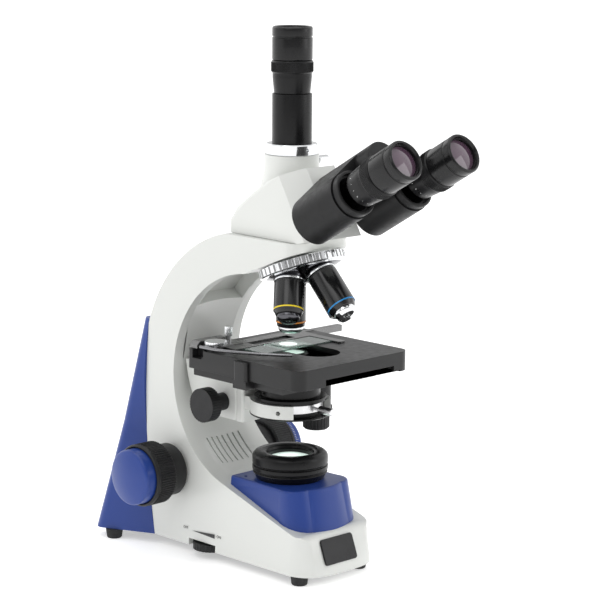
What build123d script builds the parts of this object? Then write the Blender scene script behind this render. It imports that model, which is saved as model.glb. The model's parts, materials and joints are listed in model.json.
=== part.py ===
from build123d import *
import os
from math import asin, atan2, cos, degrees, hypot, pi, radians, sin, sqrt, tan

# Trinocular laboratory microscope, millimetres, +Z up, the user sits on the -Y side.
# All sizes below are given about the optical axis (x = 0, y = 0, table at z = 0);
# write_parts() shifts the finished pieces so that the origin is the bottom centre.

# Clearances shared by all pieces
GAP = 0.3            # between neighbouring pieces of different moving bodies
RUN = 0.05           # radial running clearance of a spindle in its bore

# Stand: base and arm in one white casting
FOOT_H = 8.0
FOOT_R = 7.5
SEAM_Z = 277.5       # flat top of the arm, under the head
LOW_HALF = 43.0      # half width of the casting at its lower rim
TOP_HALF = 33.0      # half width of the casting at the seam
WALL = 5.0
BASE_FRONT = 58.5    # front of the base, ahead of the optical axis
BASE_LIP_Z = 38.0    # height at which the front face turns over
DECK_ANGLE = 17.5    # slope of the base deck, degrees
ARM_EYE = (12.0, 156.0)      # centre (y, z) of the C-shaped inner curve of the arm
ARM_IN_R = 91.5
ARM_BACK_EYE = (17.0, 156.0)
ARM_BACK_R = 124.6
NOSE_FRONT = 37.0    # front of the arm under the head
SEAM_LOW_Y = 122.5   # seam between casting and rear cover, at the lower rim
SEAM_MID_Z = 100.0
SEAM_BULGE = 6.5     # how far the seam bows back at mid height
EDGE_R = 4.5
CORNER_R = 12.0
TROUGH = 3.0         # depth of the hollow along the inner face of the arm
GRIP_ANGLES = (37.0, 63.0)   # hand recess, seen from the centre of the inner curve
GRIP_DEPTH = 13.0
GRIP_HALF = 25.0
VENT_N = 7
VENT_PITCH = 6.0
VENT_W = 1.6
VENT_ANGLES = (-57.0, -40.0)

# Rear cover
COVER_WALL = 2.5
COVER_TOP_Z = 194.0
COVER_TOP_BACK = 146.0
COVER_LOW_HALF = 69.0
COVER_LOW_BACK = 179.0
COVER_EDGE_R = 8.0

# Lamp house on the base deck
LAMP_TOP_Z = 75.0
LAMP_TOP_HALF = 34.5
LAMP_LOW_HALF = 38.5
LAMP_TOP_FRONT = 45.0
LAMP_LOW_FRONT = 53.5
LAMP_REAR = 36.0
LAMP_WALL = 2.5
COLLECTOR_R = 31.5
COLLECTOR_H = 23.0
COLLECTOR_BORE = 17.0
FIELD_LENS_R = 18.0
GROOVE = 1.4

# Focusing gear
FOCUS_Y = 100.6
FOCUS_Z = 70.5
PINION_R = 5.73      # pitch radius, 36 mm of stage travel for one turn
COARSE_R = 26.5
COARSE_IN = 59.0     # inner end of the coarse knob
COARSE_OUT = 80.5
FINE_R = 23.5
FINE_SKIRT_R = 24.8
FINE_OUT = 90.5
FINE_DOME = 3.5
COLLAR_R = 22.2
SPINDLE_R = 3.0
SLEEVE_R = 5.2
BUSH_R = 9.0
LIFT_UP = 5.0
LIFT_DOWN = 17.0
KNURLS = 48

# Stage
STAGE_TOP = 185.5
STAGE_PLATE = 4.5
STAGE_SKIRT = 16.2
STAGE_WALL = 3.0
STAGE_LEFT = 66.3
STAGE_RIGHT = 61.5
STAGE_FRONT = 77.1
STAGE_REAR = 53.8
SLOT_HALF = 17.5
SLOT_FRONT = 50.0
SLOT_REAR = 26.0
RAIL_X = 36.0
RAIL_HALF = 4.0
STAGE_Y_FRONT = 8.0  # travel of the upper plate towards the user
STAGE_Y_REAR = 33.0
HOLDER_LEFT = 35.0   # travel of the specimen holder
HOLDER_RIGHT = 15.0
BAR_Y = 37.5
BAR_HALF = 3.0
BAR_Z = 180.5
XY_X = 50.0
XY_Y = 20.0
XY_PINION_R = 5.5
UPPER_KNOB_R = 13.6
LOWER_KNOB_R = 11.4
SLIDE_L = 76.2
SLIDE_W = 25.4
SLIDE_T = 1.1
PLATE_T = 1.2        # holder plate

# Carriage and condenser
BLOCK_HALF = 25.0
BLOCK_FRONT = 39.0
BLOCK_Z = 120.0
NECK_HALF = 9.0
RING_OUT = 33.4
RING_IN = 27.5
RING_Z = 131.0
RING_H = 11.0
FLANGE_R = 30.0
CYL_R = 24.8
TOP_LENS_R = 14.0
TOP_LENS_Z = 182.0
COND_Y = 54.5
COND_Z = 134.0
COND_UP = 2.0
COND_DOWN = 13.0
COND_PINION_R = 4.5
COND_KNOB_R = 14.3
COND_KNOB_OUT = 50.0

# Nosepiece: every objective axis passes through APEX_Z on the optical axis
TILT = 22.0
APEX_Z = 286.8
SEAT_L = 48.3        # from the apex to the shoulder of each objective
RING_TOP = 30.2      # along the turret axis from the apex
TURRET_R = 36.1
TURRET_H = 8.0
FLUTES = 40
OBJ_R = 12.3
THREAD_R = 10.1
OBJECTIVES = {"objective_4x": (41.0, -90.0, 9.0), "objective_10x": (36.0, 180.0, 7.8),
              "objective_40x": (44.0, 90.0, 7.6), "objective_100x": (43.4, 0.0, 6.0)}

# Head
HEAD_GAP = 0.3
BEND_Z = 288.4       # where the inclined axis leaves the optical axis
EYE_ANGLE = 30.0
PORT_R = 22.2
PORT_TOP = 344.5
CHROME_R = 20.9
CHROME_H = 9.0
TUBE_R = 16.2
TUBE_TOP = 393.5
RIM_STATION = 170.1  # eyepiece rim, measured along the inclined axis from the bend
ARM_REACH = 38.0     # from the swing axis to each eyetube axis
SWING_REST = 30.5    # degrees below level at rest
SHELL_R = 19.6
LOBE_R = 16.7
EYE_R = 16.35
DIOPTER_R = 17.2
ROD_R = 3.4

# Openings and seats of the casting
NECK_Z = (135.0, 160.0)
DIAL_X = 31.5
DIAL_Y = 62.0
DIAL_R = 16.0
DIAL_Z = (6.6, 12.4)
HEAD_PIVOT_R = 19.3
SEAT_R = 22.0
SEAT_TOP_Q = 24.0
LIGHT_R = 9.0

# Head lock screw
LOCK_R = 3.0
LOCK_TIP = 19.9
LOCK_Y = 2.0
LOCK_GRIP_R = 5.5
LOCK_Z = SEAM_Z - LOCK_GRIP_R - 0.5      # the grip stays under the turning head

# Mains inlet in the rear cover
INLET_R = 6.0
INLET_X = 30.0
INLET_Z = 32.0

# Bottom plate and feet
PLATE_Z = (8.0, 9.6)
FEET = [(-34.0, -46.5), (34.0, -46.5), (-57.0, 160.0), (57.0, 160.0)]
FOOT_SCREW_R = 2.0

# Focusing slide and its guide
RACK_Y = FOCUS_Y + PINION_R + GAP
SLIDE_BACK = 119.4
SLIDE_UP_Y = 112.3
SLIDE_TOP_Z = 168.0
SLIDE_STEP_Z = 107.0
SLIDE_LOW_Z = 58.0
GUIDE_X = 15.0

# Stage carriage
BLOCK_REAR = 99.0
CARRIAGE_R = ARM_IN_R - 1.2

# Condenser rack, dovetail and carrier
COND_STEM_R = 3.5
COND_RACK_HALF = 4.0
DOVE_HALF = 11.0
DOVE_DEPTH = 4.0
CARRIER_T = 7.2
CARRIER_TOP = 159.5
CARRIER_HALF = 24.5
RACK_TIP = COND_Y - COND_PINION_R - GAP
COND_BORE = 15.0

# Iris ring
IRIS_Z = RING_Z + 6.0
IRIS_X = 3.0

# Levels of the stage plates
STAGE_BASE_Z = 163.0
SKIRT_Z = STAGE_TOP - STAGE_SKIRT
UNDER_TOP = STAGE_TOP - STAGE_PLATE

# Coaxial stage knobs
XY_TUBE_R = 4.0
XY_CORE_R = 2.4
XY_BRACKET_Z = 146.0

# Specimen holder
BAR_START = -26.0
BAR_END = 95.0
PIN_X = -29.0
PIN_Y = 44.0
SLIDE_X = -1.1
SLIDE_Y = 2.2
FINGER_X = -53.0
FINGER_Y = 33.0
FINGER_PIN_R = 1.5

# Turret and its shaft
STUD_R = 4.6
BEAM_R = 6.3
TURRET_LOW = 46.8

# Head housing
HEAD_Z = SEAM_Z + HEAD_GAP
FACE_STATION = 53.0      # front face of the housing on the inclined axis
CREASE_STATION = 34.0    # where its side faces end
HEAD_HALF = 29.0
HEAD_HALF_REAR = 24.5
PIVOT_R = 6.0
ROD_Z = 337.5

# Eyepieces and diopter rings
BARREL_H = 26.8
EYE_TUBE_R = 11.6
EYE_H = 27.0
EYE_LENS_R = 12.8

# Eyetube shells, as stations along the inclined axis from the bend
SHELL_BACK = FACE_STATION + 1.0      # stations along the inclined axis, from the bend
SHELL_FRONT = SHELL_BACK + 49.0
LOBE_FRONT = SHELL_FRONT + 17.0
LOBE_SPLIT = SHELL_BACK + 27.5
COLLAR_FRONT = SHELL_FRONT + 7.0
DIOPTER_LOW = RIM_STATION - EYE_H - BARREL_H

T = radians(TILT)
E = radians(EYE_ANGLE)


# Small drawing helpers

def half_width(z):
    """Half width of the casting, which narrows evenly with height."""
    return LOW_HALF + (TOP_HALF - LOW_HALF) * (z - FOOT_H) / (SEAM_Z - FOOT_H)


def flat_face(place, *runs):
    """Closed face from runs of 2D points: two points are a line, three an arc."""
    edges = []
    for run in runs:
        points = [place.from_local_coords((a, b, 0)) for a, b in run]
        maker = Edge.make_line if len(points) == 2 else Edge.make_three_point_arc
        edges.append(maker(*points))
    return Face(Wire(edges))


def polygon(place, points):
    return flat_face(place, *[(a, b) for a, b in zip(points, points[1:] + points[:1])])


def side_slab(half, *runs):
    """Side outline in (y, z), as thick as 2 * half along X."""
    return extrude(flat_face(Plane.YZ, *runs), amount=half, dir=(1, 0, 0), both=True)


def block(x0, x1, y0, y1, z0, z1):
    return Pos((x0 + x1) / 2, (y0 + y1) / 2, (z0 + z1) / 2) * Box(x1 - x0, y1 - y0, z1 - z0)


def turned(points, place=Location()):
    """Turned piece from its (radius, height) profile, about the local Z axis."""
    return place * revolve(polygon(Plane.XZ, points), Axis.Z)


def cap_arc(radius, rim, rise):
    """Arc of a shallow dome from its rim to its top, centred on the turning axis."""
    big = (radius ** 2 + rise ** 2) / (2 * rise)
    middle = (radius / 2, rim + rise - big + sqrt(big ** 2 - radius ** 2 / 4))
    return ((radius, rim), middle, (0, rim + rise))


def domed(radius, low, rim, rise, place=Location()):
    """Disc with a shallow dome on top, turned about the local Z axis."""
    face = flat_face(Plane.XZ, ((0, low), (radius, low)), ((radius, low), (radius, rim)),
                     cap_arc(radius, rim, rise), ((0, rim + rise), (0, low)))
    return place * revolve(face, Axis.Z)


def rod(radius, start, end, place=Location()):
    return place * Pos(0, 0, (start + end) / 2) * Cylinder(radius, abs(end - start))


def tube(outer, inner, start, end, place=Location()):
    return rod(outer, start, end, place) - rod(inner, start - 1, end + 1, place)


def along_x(y, z):
    """Local Z runs along +X through (y, z)."""
    return Plane(origin=(0, y, z), x_dir=(0, 1, 0), z_dir=(1, 0, 0)).location


def arc_point(centre, radius, angle):
    return (centre[0] + radius * cos(radians(angle)), centre[1] + radius * sin(radians(angle)))


def around(place, count, shape):
    """Copies of a shape, evenly spaced about the local Z axis of place."""
    return [place * Rot(0, 0, 360 * i / count) * shape for i in range(count)]


def knurled(radius, start, end, count, depth, place):
    """Cylinder with shallow grooves cut around it."""
    groove = Pos(radius + depth * 0.6, 0, (start + end) / 2) * Cylinder(depth * 1.2, abs(end - start) + 2)
    return rod(radius, start, end, place) - around(place, count, groove)


def toothed(radius, start, end, count, place):
    """Small pinion: a hub with straight teeth out to the given radius."""
    hub = rod(radius - 1.1, start, end, place)
    tooth = Pos(radius - 0.8, 0, (start + end) / 2) * Box(1.6, radius * 0.2, abs(end - start))
    return hub + around(place, count, tooth)


# Outlines that several pieces share

deck_start = arc_point(ARM_EYE, ARM_IN_R, -90 + DECK_ANGLE)
DECK_SLOPE = tan(radians(DECK_ANGLE))


def deck_z(y, drop=0.0):
    """Height of the sloping base deck."""
    return deck_start[1] + (y - deck_start[0]) * DECK_SLOPE - drop


lip_y = -(BASE_FRONT - 10.0)
LIP = ((-BASE_FRONT + 2.5, BASE_LIP_Z - 2), (-BASE_FRONT + 4.3, BASE_LIP_Z + 1.2), (lip_y, deck_z(lip_y)))

TURRET_AXIS = Plane(origin=(0, 0, APEX_Z), x_dir=(1, 0, 0), z_dir=(0, -sin(T), -cos(T))).location
UNDER_Q = RING_TOP - 0.9     # underside of the nose, just above the turret ring


def under_z(y, q=UNDER_Q):
    """Height of a plane square to the turret axis, q from the apex."""
    return APEX_Z - (q + y * sin(T)) / cos(T)


def arc_meets_under():
    """Where the underside of the nose runs into the inner curve of the arm."""
    y = 0.0
    while hypot(y - ARM_EYE[0], under_z(y) - ARM_EYE[1]) > ARM_IN_R:
        y += 0.05
    return (y, under_z(y))


nose_join = arc_meets_under()
back_top = (ARM_BACK_EYE[0] + sqrt(ARM_BACK_R ** 2 - (SEAM_Z - ARM_BACK_EYE[1]) ** 2), SEAM_Z)
back_low_angle = degrees(asin((COVER_TOP_Z - 4 - ARM_BACK_EYE[1]) / ARM_BACK_R))
back_low = arc_point(ARM_BACK_EYE, ARM_BACK_R, back_low_angle)
back_mid = arc_point(ARM_BACK_EYE, ARM_BACK_R,
                     (back_low_angle + degrees(atan2(back_top[1] - ARM_BACK_EYE[1],
                                                     back_top[0] - ARM_BACK_EYE[0]))) / 2)
seam_low = (SEAM_LOW_Y, FOOT_H)
seam_mid = (SEAM_LOW_Y + (back_low[0] - SEAM_LOW_Y) * (SEAM_MID_Z - FOOT_H)
            / (back_low[1] - FOOT_H) + SEAM_BULGE, SEAM_MID_Z)


def tapered_slab(low, top):
    """Front view of the casting, run through from front to back."""
    outline = [(-low, FOOT_H), (low, FOOT_H), (top, SEAM_Z), (-top, SEAM_Z)]
    return extrude(polygon(Plane.XZ, outline), amount=300, both=True)


def arm_groove(depth, half, angles):
    """Band cut into the inner curve of the arm, between two angles."""
    first, last = angles
    middle = (first + last) / 2
    return side_slab(half,
                     (arc_point(ARM_EYE, ARM_IN_R - 12, first),
                      arc_point(ARM_EYE, ARM_IN_R + depth, first)),
                     (arc_point(ARM_EYE, ARM_IN_R + depth, first),
                      arc_point(ARM_EYE, ARM_IN_R + depth, middle),
                      arc_point(ARM_EYE, ARM_IN_R + depth, last)),
                     (arc_point(ARM_EYE, ARM_IN_R + depth, last),
                      arc_point(ARM_EYE, ARM_IN_R - 12, last)),
                     (arc_point(ARM_EYE, ARM_IN_R - 12, last),
                      arc_point(ARM_EYE, ARM_IN_R - 12, middle),
                      arc_point(ARM_EYE, ARM_IN_R - 12, first)))


# Stand casting: one aluminium casting, base box below, C-shaped arm above


def casting_body():
    front_low = (-BASE_FRONT, FOOT_H)
    body = side_slab(
        LOW_HALF + 10,
        (front_low, LIP[0]), LIP, (LIP[2], deck_start),
        (deck_start, (ARM_EYE[0] + ARM_IN_R, ARM_EYE[1]), nose_join),
        (nose_join, (-NOSE_FRONT, under_z(-NOSE_FRONT))),
        ((-NOSE_FRONT, under_z(-NOSE_FRONT)), (-NOSE_FRONT, SEAM_Z)),
        ((-NOSE_FRONT, SEAM_Z), back_top), (back_top, back_mid, back_low),
        (back_low, seam_mid, seam_low), (seam_low, front_low))
    body = body & tapered_slab(LOW_HALF, TOP_HALF)
    corners = [e for e in body.edges() if e.center().Y < -BASE_FRONT + 3
               and abs(e.center().X) > 20 and e.center().Z < BASE_LIP_Z and e.length > 15
               and abs(e.tangent_at(0.5).Z) > 0.9]
    body = fillet(corners, CORNER_R)
    nose = [e for e in body.edges() if e.center().Y < -NOSE_FRONT + 1 and e.center().Z > 260
            and abs(e.tangent_at(0.5).Z) > 0.8]
    return fillet(nose, CORNER_R)


def casting_cavity():
    """Room for the lamp, the board and the focusing gear, open below and behind."""
    low_y = lip_y + 1
    roof_drop = WALL + 1
    inner_r = ARM_IN_R + TROUGH + WALL
    low = arc_point(ARM_EYE, inner_r, -68)
    high_angle = degrees(asin((COVER_TOP_Z - 12 - ARM_EYE[1]) / inner_r))
    high = arc_point(ARM_EYE, inner_r, high_angle)
    shape = side_slab(LOW_HALF + 10,
                      ((low_y, FOOT_H - 1), (low_y, deck_z(low_y, roof_drop))),
                      ((low_y, deck_z(low_y, roof_drop)), low),
                      (low, (ARM_EYE[0] + inner_r, ARM_EYE[1]), high),
                      (high, (COVER_TOP_BACK, high[1])),
                      ((COVER_TOP_BACK, high[1]), (COVER_TOP_BACK, FOOT_H - 1)),
                      ((COVER_TOP_BACK, FOOT_H - 1), (low_y, FOOT_H - 1)))
    inner = [(-LOW_HALF + WALL, FOOT_H - 1), (LOW_HALF - WALL, FOOT_H - 1),
             (TOP_HALF - WALL, SEAM_Z), (-TOP_HALF + WALL, SEAM_Z)]
    return shape & extrude(polygon(Plane.XZ, inner), amount=300, both=True)


def arm_trough():
    """Shallow hollow of the inner face, turned about the centre of the C."""
    half = TOP_HALF - EDGE_R - 1.5
    spin = Plane(origin=(0, ARM_EYE[0], ARM_EYE[1]), x_dir=(0, 1, 0), z_dir=(1, 0, 0))
    section = Plane(origin=spin.origin, x_dir=(0, 1, 0), z_dir=(0, 0, 1))
    face = flat_face(section, ((0, -half), (0, half)), ((0, half), (ARM_IN_R, half)),
                     ((ARM_IN_R, half), (ARM_IN_R + TROUGH, 0), (ARM_IN_R, -half)),
                     ((ARM_IN_R, -half), (0, -half)))
    body = revolve(face, Axis(spin.origin, (1, 0, 0)))
    return body & block(-half, half, ARM_EYE[0] + 20, 140, deck_start[1] + 3, under_z(ARM_EYE[0] + 20))


def make_stand_casting():
    body = casting_body() - casting_cavity() - arm_trough()
    body -= arm_groove(GRIP_DEPTH, GRIP_HALF, GRIP_ANGLES)
    for i in range(VENT_N):
        x = (i - (VENT_N - 1) / 2) * VENT_PITCH
        body -= Pos(x, 0, 0) * arm_groove(14, VENT_W / 2, VENT_ANGLES)
    # the shafts, the neck of the carriage, the light path and the head pivot pass through
    body -= rod(BUSH_R, -60, 60, along_x(FOCUS_Y, FOCUS_Z))
    body -= block(-NECK_HALF - 1, NECK_HALF + 1, ARM_EYE[0] + ARM_IN_R - 14, ARM_EYE[0] + ARM_IN_R + 14,
                  NECK_Z[0] - LIFT_DOWN - 2, NECK_Z[1] + LIFT_UP + 2)
    body -= rod(LIGHT_R, 235, SEAM_Z + 5)
    body -= rod(HEAD_PIVOT_R + GAP, SEAM_Z - 6, SEAM_Z + 5)
    body -= rod(SEAT_R, SEAT_TOP_Q, UNDER_Q + 6, TURRET_AXIS)
    # hole for the light above the lamp, and the bite for the dial
    body -= rod(COLLECTOR_BORE, 20, 90)
    body -= block(-LOW_HALF - 5, -LOW_HALF + WALL + 2, DIAL_Y - DIAL_R - 0.6, DIAL_Y + DIAL_R + 0.6,
                  FOOT_H - 1, DIAL_Z[1] + 1.5)
    for x, y in FEET[:2]:
        body -= rod(FOOT_SCREW_R, 0, PLATE_Z[1] + 3, Pos(x, y, 0))
    # tapped hole of the head lock screw on the right
    body -= rod(LOCK_R + RUN, LOCK_TIP - 1, 60, along_x(LOCK_Y, LOCK_Z))
    return body


def make_head_lock_screw():
    place = along_x(LOCK_Y, LOCK_Z)
    grip = TOP_HALF + 1.0
    return rod(LOCK_R, LOCK_TIP, grip + 0.5, place) + knurled(LOCK_GRIP_R, grip, grip + 9, 18, 0.6, place)


# Rear cover: moulded blue shell that closes the back of the stand

def cover_body(inset):
    """Tapering body of the rear cover, each wall moved in by inset."""
    sections = []
    rise = COVER_TOP_Z - FOOT_H
    for z in (FOOT_H, SEAM_MID_Z, COVER_TOP_Z):
        t = (z - FOOT_H) / rise
        front = 90.0
        back = COVER_LOW_BACK + (COVER_TOP_BACK - COVER_LOW_BACK) * t - inset
        seam = SEAM_LOW_Y + (back_low[0] - SEAM_LOW_Y) * t + SEAM_BULGE * (1 if z == SEAM_MID_Z else 0)
        half_back = COVER_LOW_HALF + (half_width(COVER_TOP_Z) - 1 - COVER_LOW_HALF) * t - inset
        half_seam = half_width(z) - inset
        half_front = half_seam - (half_back - half_seam) * (seam - front) / (back - seam)
        half_front = max(half_front, 8.0)
        corners = [(-half_front, front), (half_front, front), (half_back, back), (-half_back, back)]
        sections.append(polygon(Plane.XY.offset(z), corners))
    return loft(sections, ruled=True)


def seam_region(gap):
    """Everything in front of the seam, to cut the cover along it."""
    return side_slab(100, ((0, FOOT_H - 5), (0, COVER_TOP_Z + 20)),
                     ((0, COVER_TOP_Z + 20), (back_low[0] + gap - 6, COVER_TOP_Z + 20)),
                     ((back_low[0] + gap - 6, COVER_TOP_Z + 20), (back_low[0] + gap, back_low[1])),
                     ((back_low[0] + gap, back_low[1]), (seam_mid[0] + gap, seam_mid[1]),
                      (seam_low[0] + gap, seam_low[1])),
                     ((seam_low[0] + gap, seam_low[1]), (seam_low[0] + gap - 1, FOOT_H - 5)),
                     ((seam_low[0] + gap - 1, FOOT_H - 5), (0, FOOT_H - 5)))


def make_rear_cover():
    outer = cover_body(0)
    uprights = [e for e in outer.edges() if abs(e.tangent_at(0.5).Z) > 0.7 and e.center().Y > 140]
    outer = fillet(uprights, COVER_EDGE_R)
    inner = cover_body(COVER_WALL)
    uprights = [e for e in inner.edges() if abs(e.tangent_at(0.5).Z) > 0.7 and e.center().Y > 140]
    inner = fillet(uprights, COVER_EDGE_R - COVER_WALL) & block(-100, 100, 0, 200, FOOT_H - 1,
                                                                COVER_TOP_Z - COVER_WALL)
    shell = outer - inner - seam_region(0.0)
    for x, y in FEET[2:]:
        shell -= rod(FOOT_SCREW_R, 0, PLATE_Z[1] + 3, Pos(x, y, 0))
    return shell - rod(INLET_R, 150, 190, along_y(INLET_X, INLET_Z))


def along_y(x, z):
    """Local Z runs along +Y through (x, z)."""
    return Plane(origin=(x, 0, z), x_dir=(1, 0, 0), z_dir=(0, 1, 0)).location


def cover_back_y(z):
    t = (z - FOOT_H) / (COVER_TOP_Z - FOOT_H)
    return COVER_LOW_BACK + (COVER_TOP_BACK - COVER_LOW_BACK) * t


def make_power_inlet():
    place = along_y(INLET_X, INLET_Z)
    back = cover_back_y(INLET_Z)
    body = rod(INLET_R - 0.1, back - 16, back + 1.6, place)
    nut = rod(INLET_R + 2.0, back - COVER_WALL - 5.0, back - COVER_WALL - 1.5, place)
    pin = rod(1.0, back - 15, back + 1, place)
    return (body + nut - rod(3.2, back - 10, back + 5, place)) + pin


# Bottom plate, feet and the electrics that stand on the plate


def plate_outline(inset):
    low = LOW_HALF - WALL - inset
    rear = COVER_LOW_HALF - COVER_WALL - inset
    spread = (rear - low) / (COVER_LOW_BACK - SEAM_LOW_Y)
    return [(-low, lip_y + 1 + inset), (low, lip_y + 1 + inset), (low, SEAM_LOW_Y),
            (rear - spread * 8, COVER_LOW_BACK - 8 - inset), (-rear + spread * 8, COVER_LOW_BACK - 8 - inset),
            (-low, SEAM_LOW_Y)]


def make_bottom_plate():
    face = polygon(Plane.XY.offset(PLATE_Z[0]), plate_outline(0.4))
    plate = extrude(face, amount=PLATE_Z[1] - PLATE_Z[0])
    plate -= block(-LOW_HALF, -LOW_HALF + WALL + 8, DIAL_Y - DIAL_R - 1, DIAL_Y + DIAL_R + 1, 0, 20)
    plate -= rod(DIAL_R + 0.8, 0, 20, Pos(-DIAL_X, DIAL_Y, 0))
    for x, y in FEET:
        plate -= rod(FOOT_SCREW_R, 0, 20, Pos(x, y, 0))
    return plate


def make_feet():
    profile = [(FOOT_SCREW_R + 0.6, 0), (FOOT_R - 1.6, 0), (FOOT_R - 0.9, 0.8), (FOOT_R, FOOT_H - 0.5),
               (FOOT_R, PLATE_Z[0]), (FOOT_SCREW_R + 0.6, PLATE_Z[0])]
    return [turned(profile, Pos(x, y, 0)) for x, y in FEET]


def make_foot_screws():
    head = FOOT_SCREW_R + 0.55
    profile = [(0, 2.0), (head, 2.0), (head, 4.0), (FOOT_SCREW_R, 4.0), (FOOT_SCREW_R, PLATE_Z[1] + 2.5),
               (0, PLATE_Z[1] + 2.5)]
    return [turned(profile, Pos(x, y, 0)) for x, y in FEET]


def make_lamp_module():
    """Light diode on its finned heat sink, on the bottom plate under the field lens."""
    base = rod(16, PLATE_Z[1], PLATE_Z[1] + 18)
    for i in range(-3, 4):
        base -= block(i * 4.4 - 0.9, i * 4.4 + 0.9, -20, 20, PLATE_Z[1] + 3, PLATE_Z[1] + 14)
    star = rod(10, PLATE_Z[1] + 18, PLATE_Z[1] + 19.6)
    dome = Pos(0, 0, PLATE_Z[1] + 19.6) * (Sphere(3.5) & block(-5, 5, -5, 5, 0, 5))
    return base + star + dome


def make_power_board():
    """Board with its transformer can and the dimmer whose spindle carries the dial."""
    z = PLATE_Z[1]
    board = block(-22, 26, 84, 132, z + 5, z + 6.6)
    posts = [rod(2.2, z, z + 5, Pos(x, y, 0)) for x in (-18, 22) for y in (88, 128)]
    can = block(-4, 22, 104, 128, z + 6.6, z + 26)
    chips = block(-18, -8, 90, 100, z + 6.6, z + 13)
    arm = block(-DIAL_X - 3, -16, DIAL_Y - 4, 90, z + 5, z + 6.6)
    spindle = rod(2.0, DIAL_Z[0] + 1, z + 5.5, Pos(-DIAL_X, DIAL_Y, 0))
    pot = rod(5.4, z + 4.2, z + 12, Pos(-DIAL_X, DIAL_Y, 0))
    body = board + can + chips + arm + pot + spindle
    for post in posts:
        body += post
    return body


def make_brightness_dial():
    place = Pos(-DIAL_X, DIAL_Y, 0)
    wheel = knurled(DIAL_R, DIAL_Z[0], DIAL_Z[1], 30, 0.7, place)
    return wheel - rod(2.0 + RUN, 0, 20, place)


# Lamp house cover, collector ring and field lens

def lamp_outline(z, half, front, inset):
    rear = LAMP_REAR - inset
    side = half - inset
    bulge = -front + inset
    corner = (side * 0.88, bulge + (front - 22) * 0.35)
    return flat_face(Plane.XY.offset(z), ((-side + 1.5, rear), (side - 1.5, rear)),
                     ((side - 1.5, rear), (side, -front * 0.48)),
                     ((side, -front * 0.48), corner, (side * 0.55, bulge + 4.2)),
                     ((side * 0.55, bulge + 4.2), (0, bulge), (-side * 0.55, bulge + 4.2)),
                     ((-side * 0.55, bulge + 4.2), (-corner[0], corner[1]), (-side, -front * 0.48)),
                     ((-side, -front * 0.48), (-side + 1.5, rear)))


def lamp_body(inset, top):
    low_z = deck_z(-LAMP_LOW_FRONT) - 3
    return loft([lamp_outline(low_z, LAMP_LOW_HALF, LAMP_LOW_FRONT, inset),
                 lamp_outline(top, LAMP_TOP_HALF, LAMP_TOP_FRONT, inset)], ruled=True)


def deck_region():
    """Everything below the deck and its turned-over front edge."""
    return side_slab(80, ((-90, 0), (-90, 30)), ((-90, 30), LIP[0]), LIP, (LIP[2], (60, deck_z(60))),
                     ((60, deck_z(60)), (60, 0)), ((60, 0), (-90, 0)))


def make_lamp_cover():
    outer = lamp_body(0, LAMP_TOP_Z)
    top_edges = [e for e in outer.edges() if e.center().Z > LAMP_TOP_Z - 0.1 and e.center().Y < LAMP_REAR - 1]
    outer = fillet(top_edges, 2.0)
    inner = lamp_body(LAMP_WALL, LAMP_TOP_Z - LAMP_WALL)
    shell = outer - inner - deck_region()
    shell -= rod(COLLECTOR_BORE, 20, 90)
    for x in (-1, 1):
        shell -= rod(1.6, 60, 80, Pos(x * 26, 26, 0))
    return shell


def make_collector_ring():
    z0 = LAMP_TOP_Z
    r = COLLECTOR_R
    top = z0 + COLLECTOR_H
    profile = [(COLLECTOR_BORE - 1, z0), (r - 3.6, z0), (r - 3.0, z0 + 1.0), (r - 1.6, z0 + 4.0), (r - 0.4, z0 + 5.4),
               (r - 0.4, z0 + 6.2), (r - GROOVE, z0 + 6.6), (r - GROOVE, z0 + 7.4), (r, z0 + 8.0),
               (r, z0 + 11.2), (r - GROOVE, z0 + 11.7), (r - GROOVE, z0 + 12.5), (r, z0 + 13.2),
               (r, z0 + 18.4), (r - 0.7, z0 + 20.4), (r - 2.2, z0 + 22.0), (r - 4.4, top),
               (r - 9.2, top), (FIELD_LENS_R + 2.0, top - 1.2), (FIELD_LENS_R + 1.0, top - 3.6),
               (FIELD_LENS_R + 0.1, top - 3.8),
               (FIELD_LENS_R + 0.1, top - 9.0), (COLLECTOR_BORE - 1, top - 9.0)]
    return turned(profile)


def make_field_lens():
    top = LAMP_TOP_Z + COLLECTOR_H
    return domed(FIELD_LENS_R, top - 9.0, top - 6.6, 3.2)


# Focusing gear: coarse and fine spindles run inside one another across the arm

FOCUS = along_x(FOCUS_Y, FOCUS_Z)


def bush_wall():
    return half_width(FOCUS_Z)


def make_shaft_bushes():
    """Two flanged bushes; the right one carries the plain collar outside."""
    w = bush_wall()
    left = tube(BUSH_R, SLEEVE_R + RUN, -w - 1.0, -w + WALL + 6, FOCUS) \
        + tube(BUSH_R + 3, SLEEVE_R + RUN, -w - 3.4, -w - 1.0, FOCUS)
    right = tube(BUSH_R, SLEEVE_R + RUN, w - WALL - 6, w + 1.0, FOCUS) \
        + tube(COLLAR_R, SLEEVE_R + RUN, w + 1.0, COARSE_IN - GAP, FOCUS)
    return [left, right]


def make_tension_collar():
    w = bush_wall()
    start = -w - 3.4 - GAP
    end = -COARSE_IN + GAP
    profile = [(SLEEVE_R + 0.4, start), (COLLAR_R - 0.5, start), (COLLAR_R, start - 1.0),
               (COLLAR_R, end + 1.0), (COLLAR_R - 1.0, end), (SLEEVE_R + 0.4, end)]
    return turned(profile, FOCUS)


def make_coarse_shaft():
    """Hollow shaft with the pinion that drives the rack."""
    sleeve = rod(SLEEVE_R, -COARSE_IN - 6, COARSE_IN + 6, FOCUS)
    waist = tube(SLEEVE_R + 1, PINION_R - 1.3, -8.5, 8.5, FOCUS)
    shaft = sleeve - waist + toothed(PINION_R, -7, 7, 16, FOCUS)
    return shaft - rod(SPINDLE_R + RUN, -90, 90, FOCUS)


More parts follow.
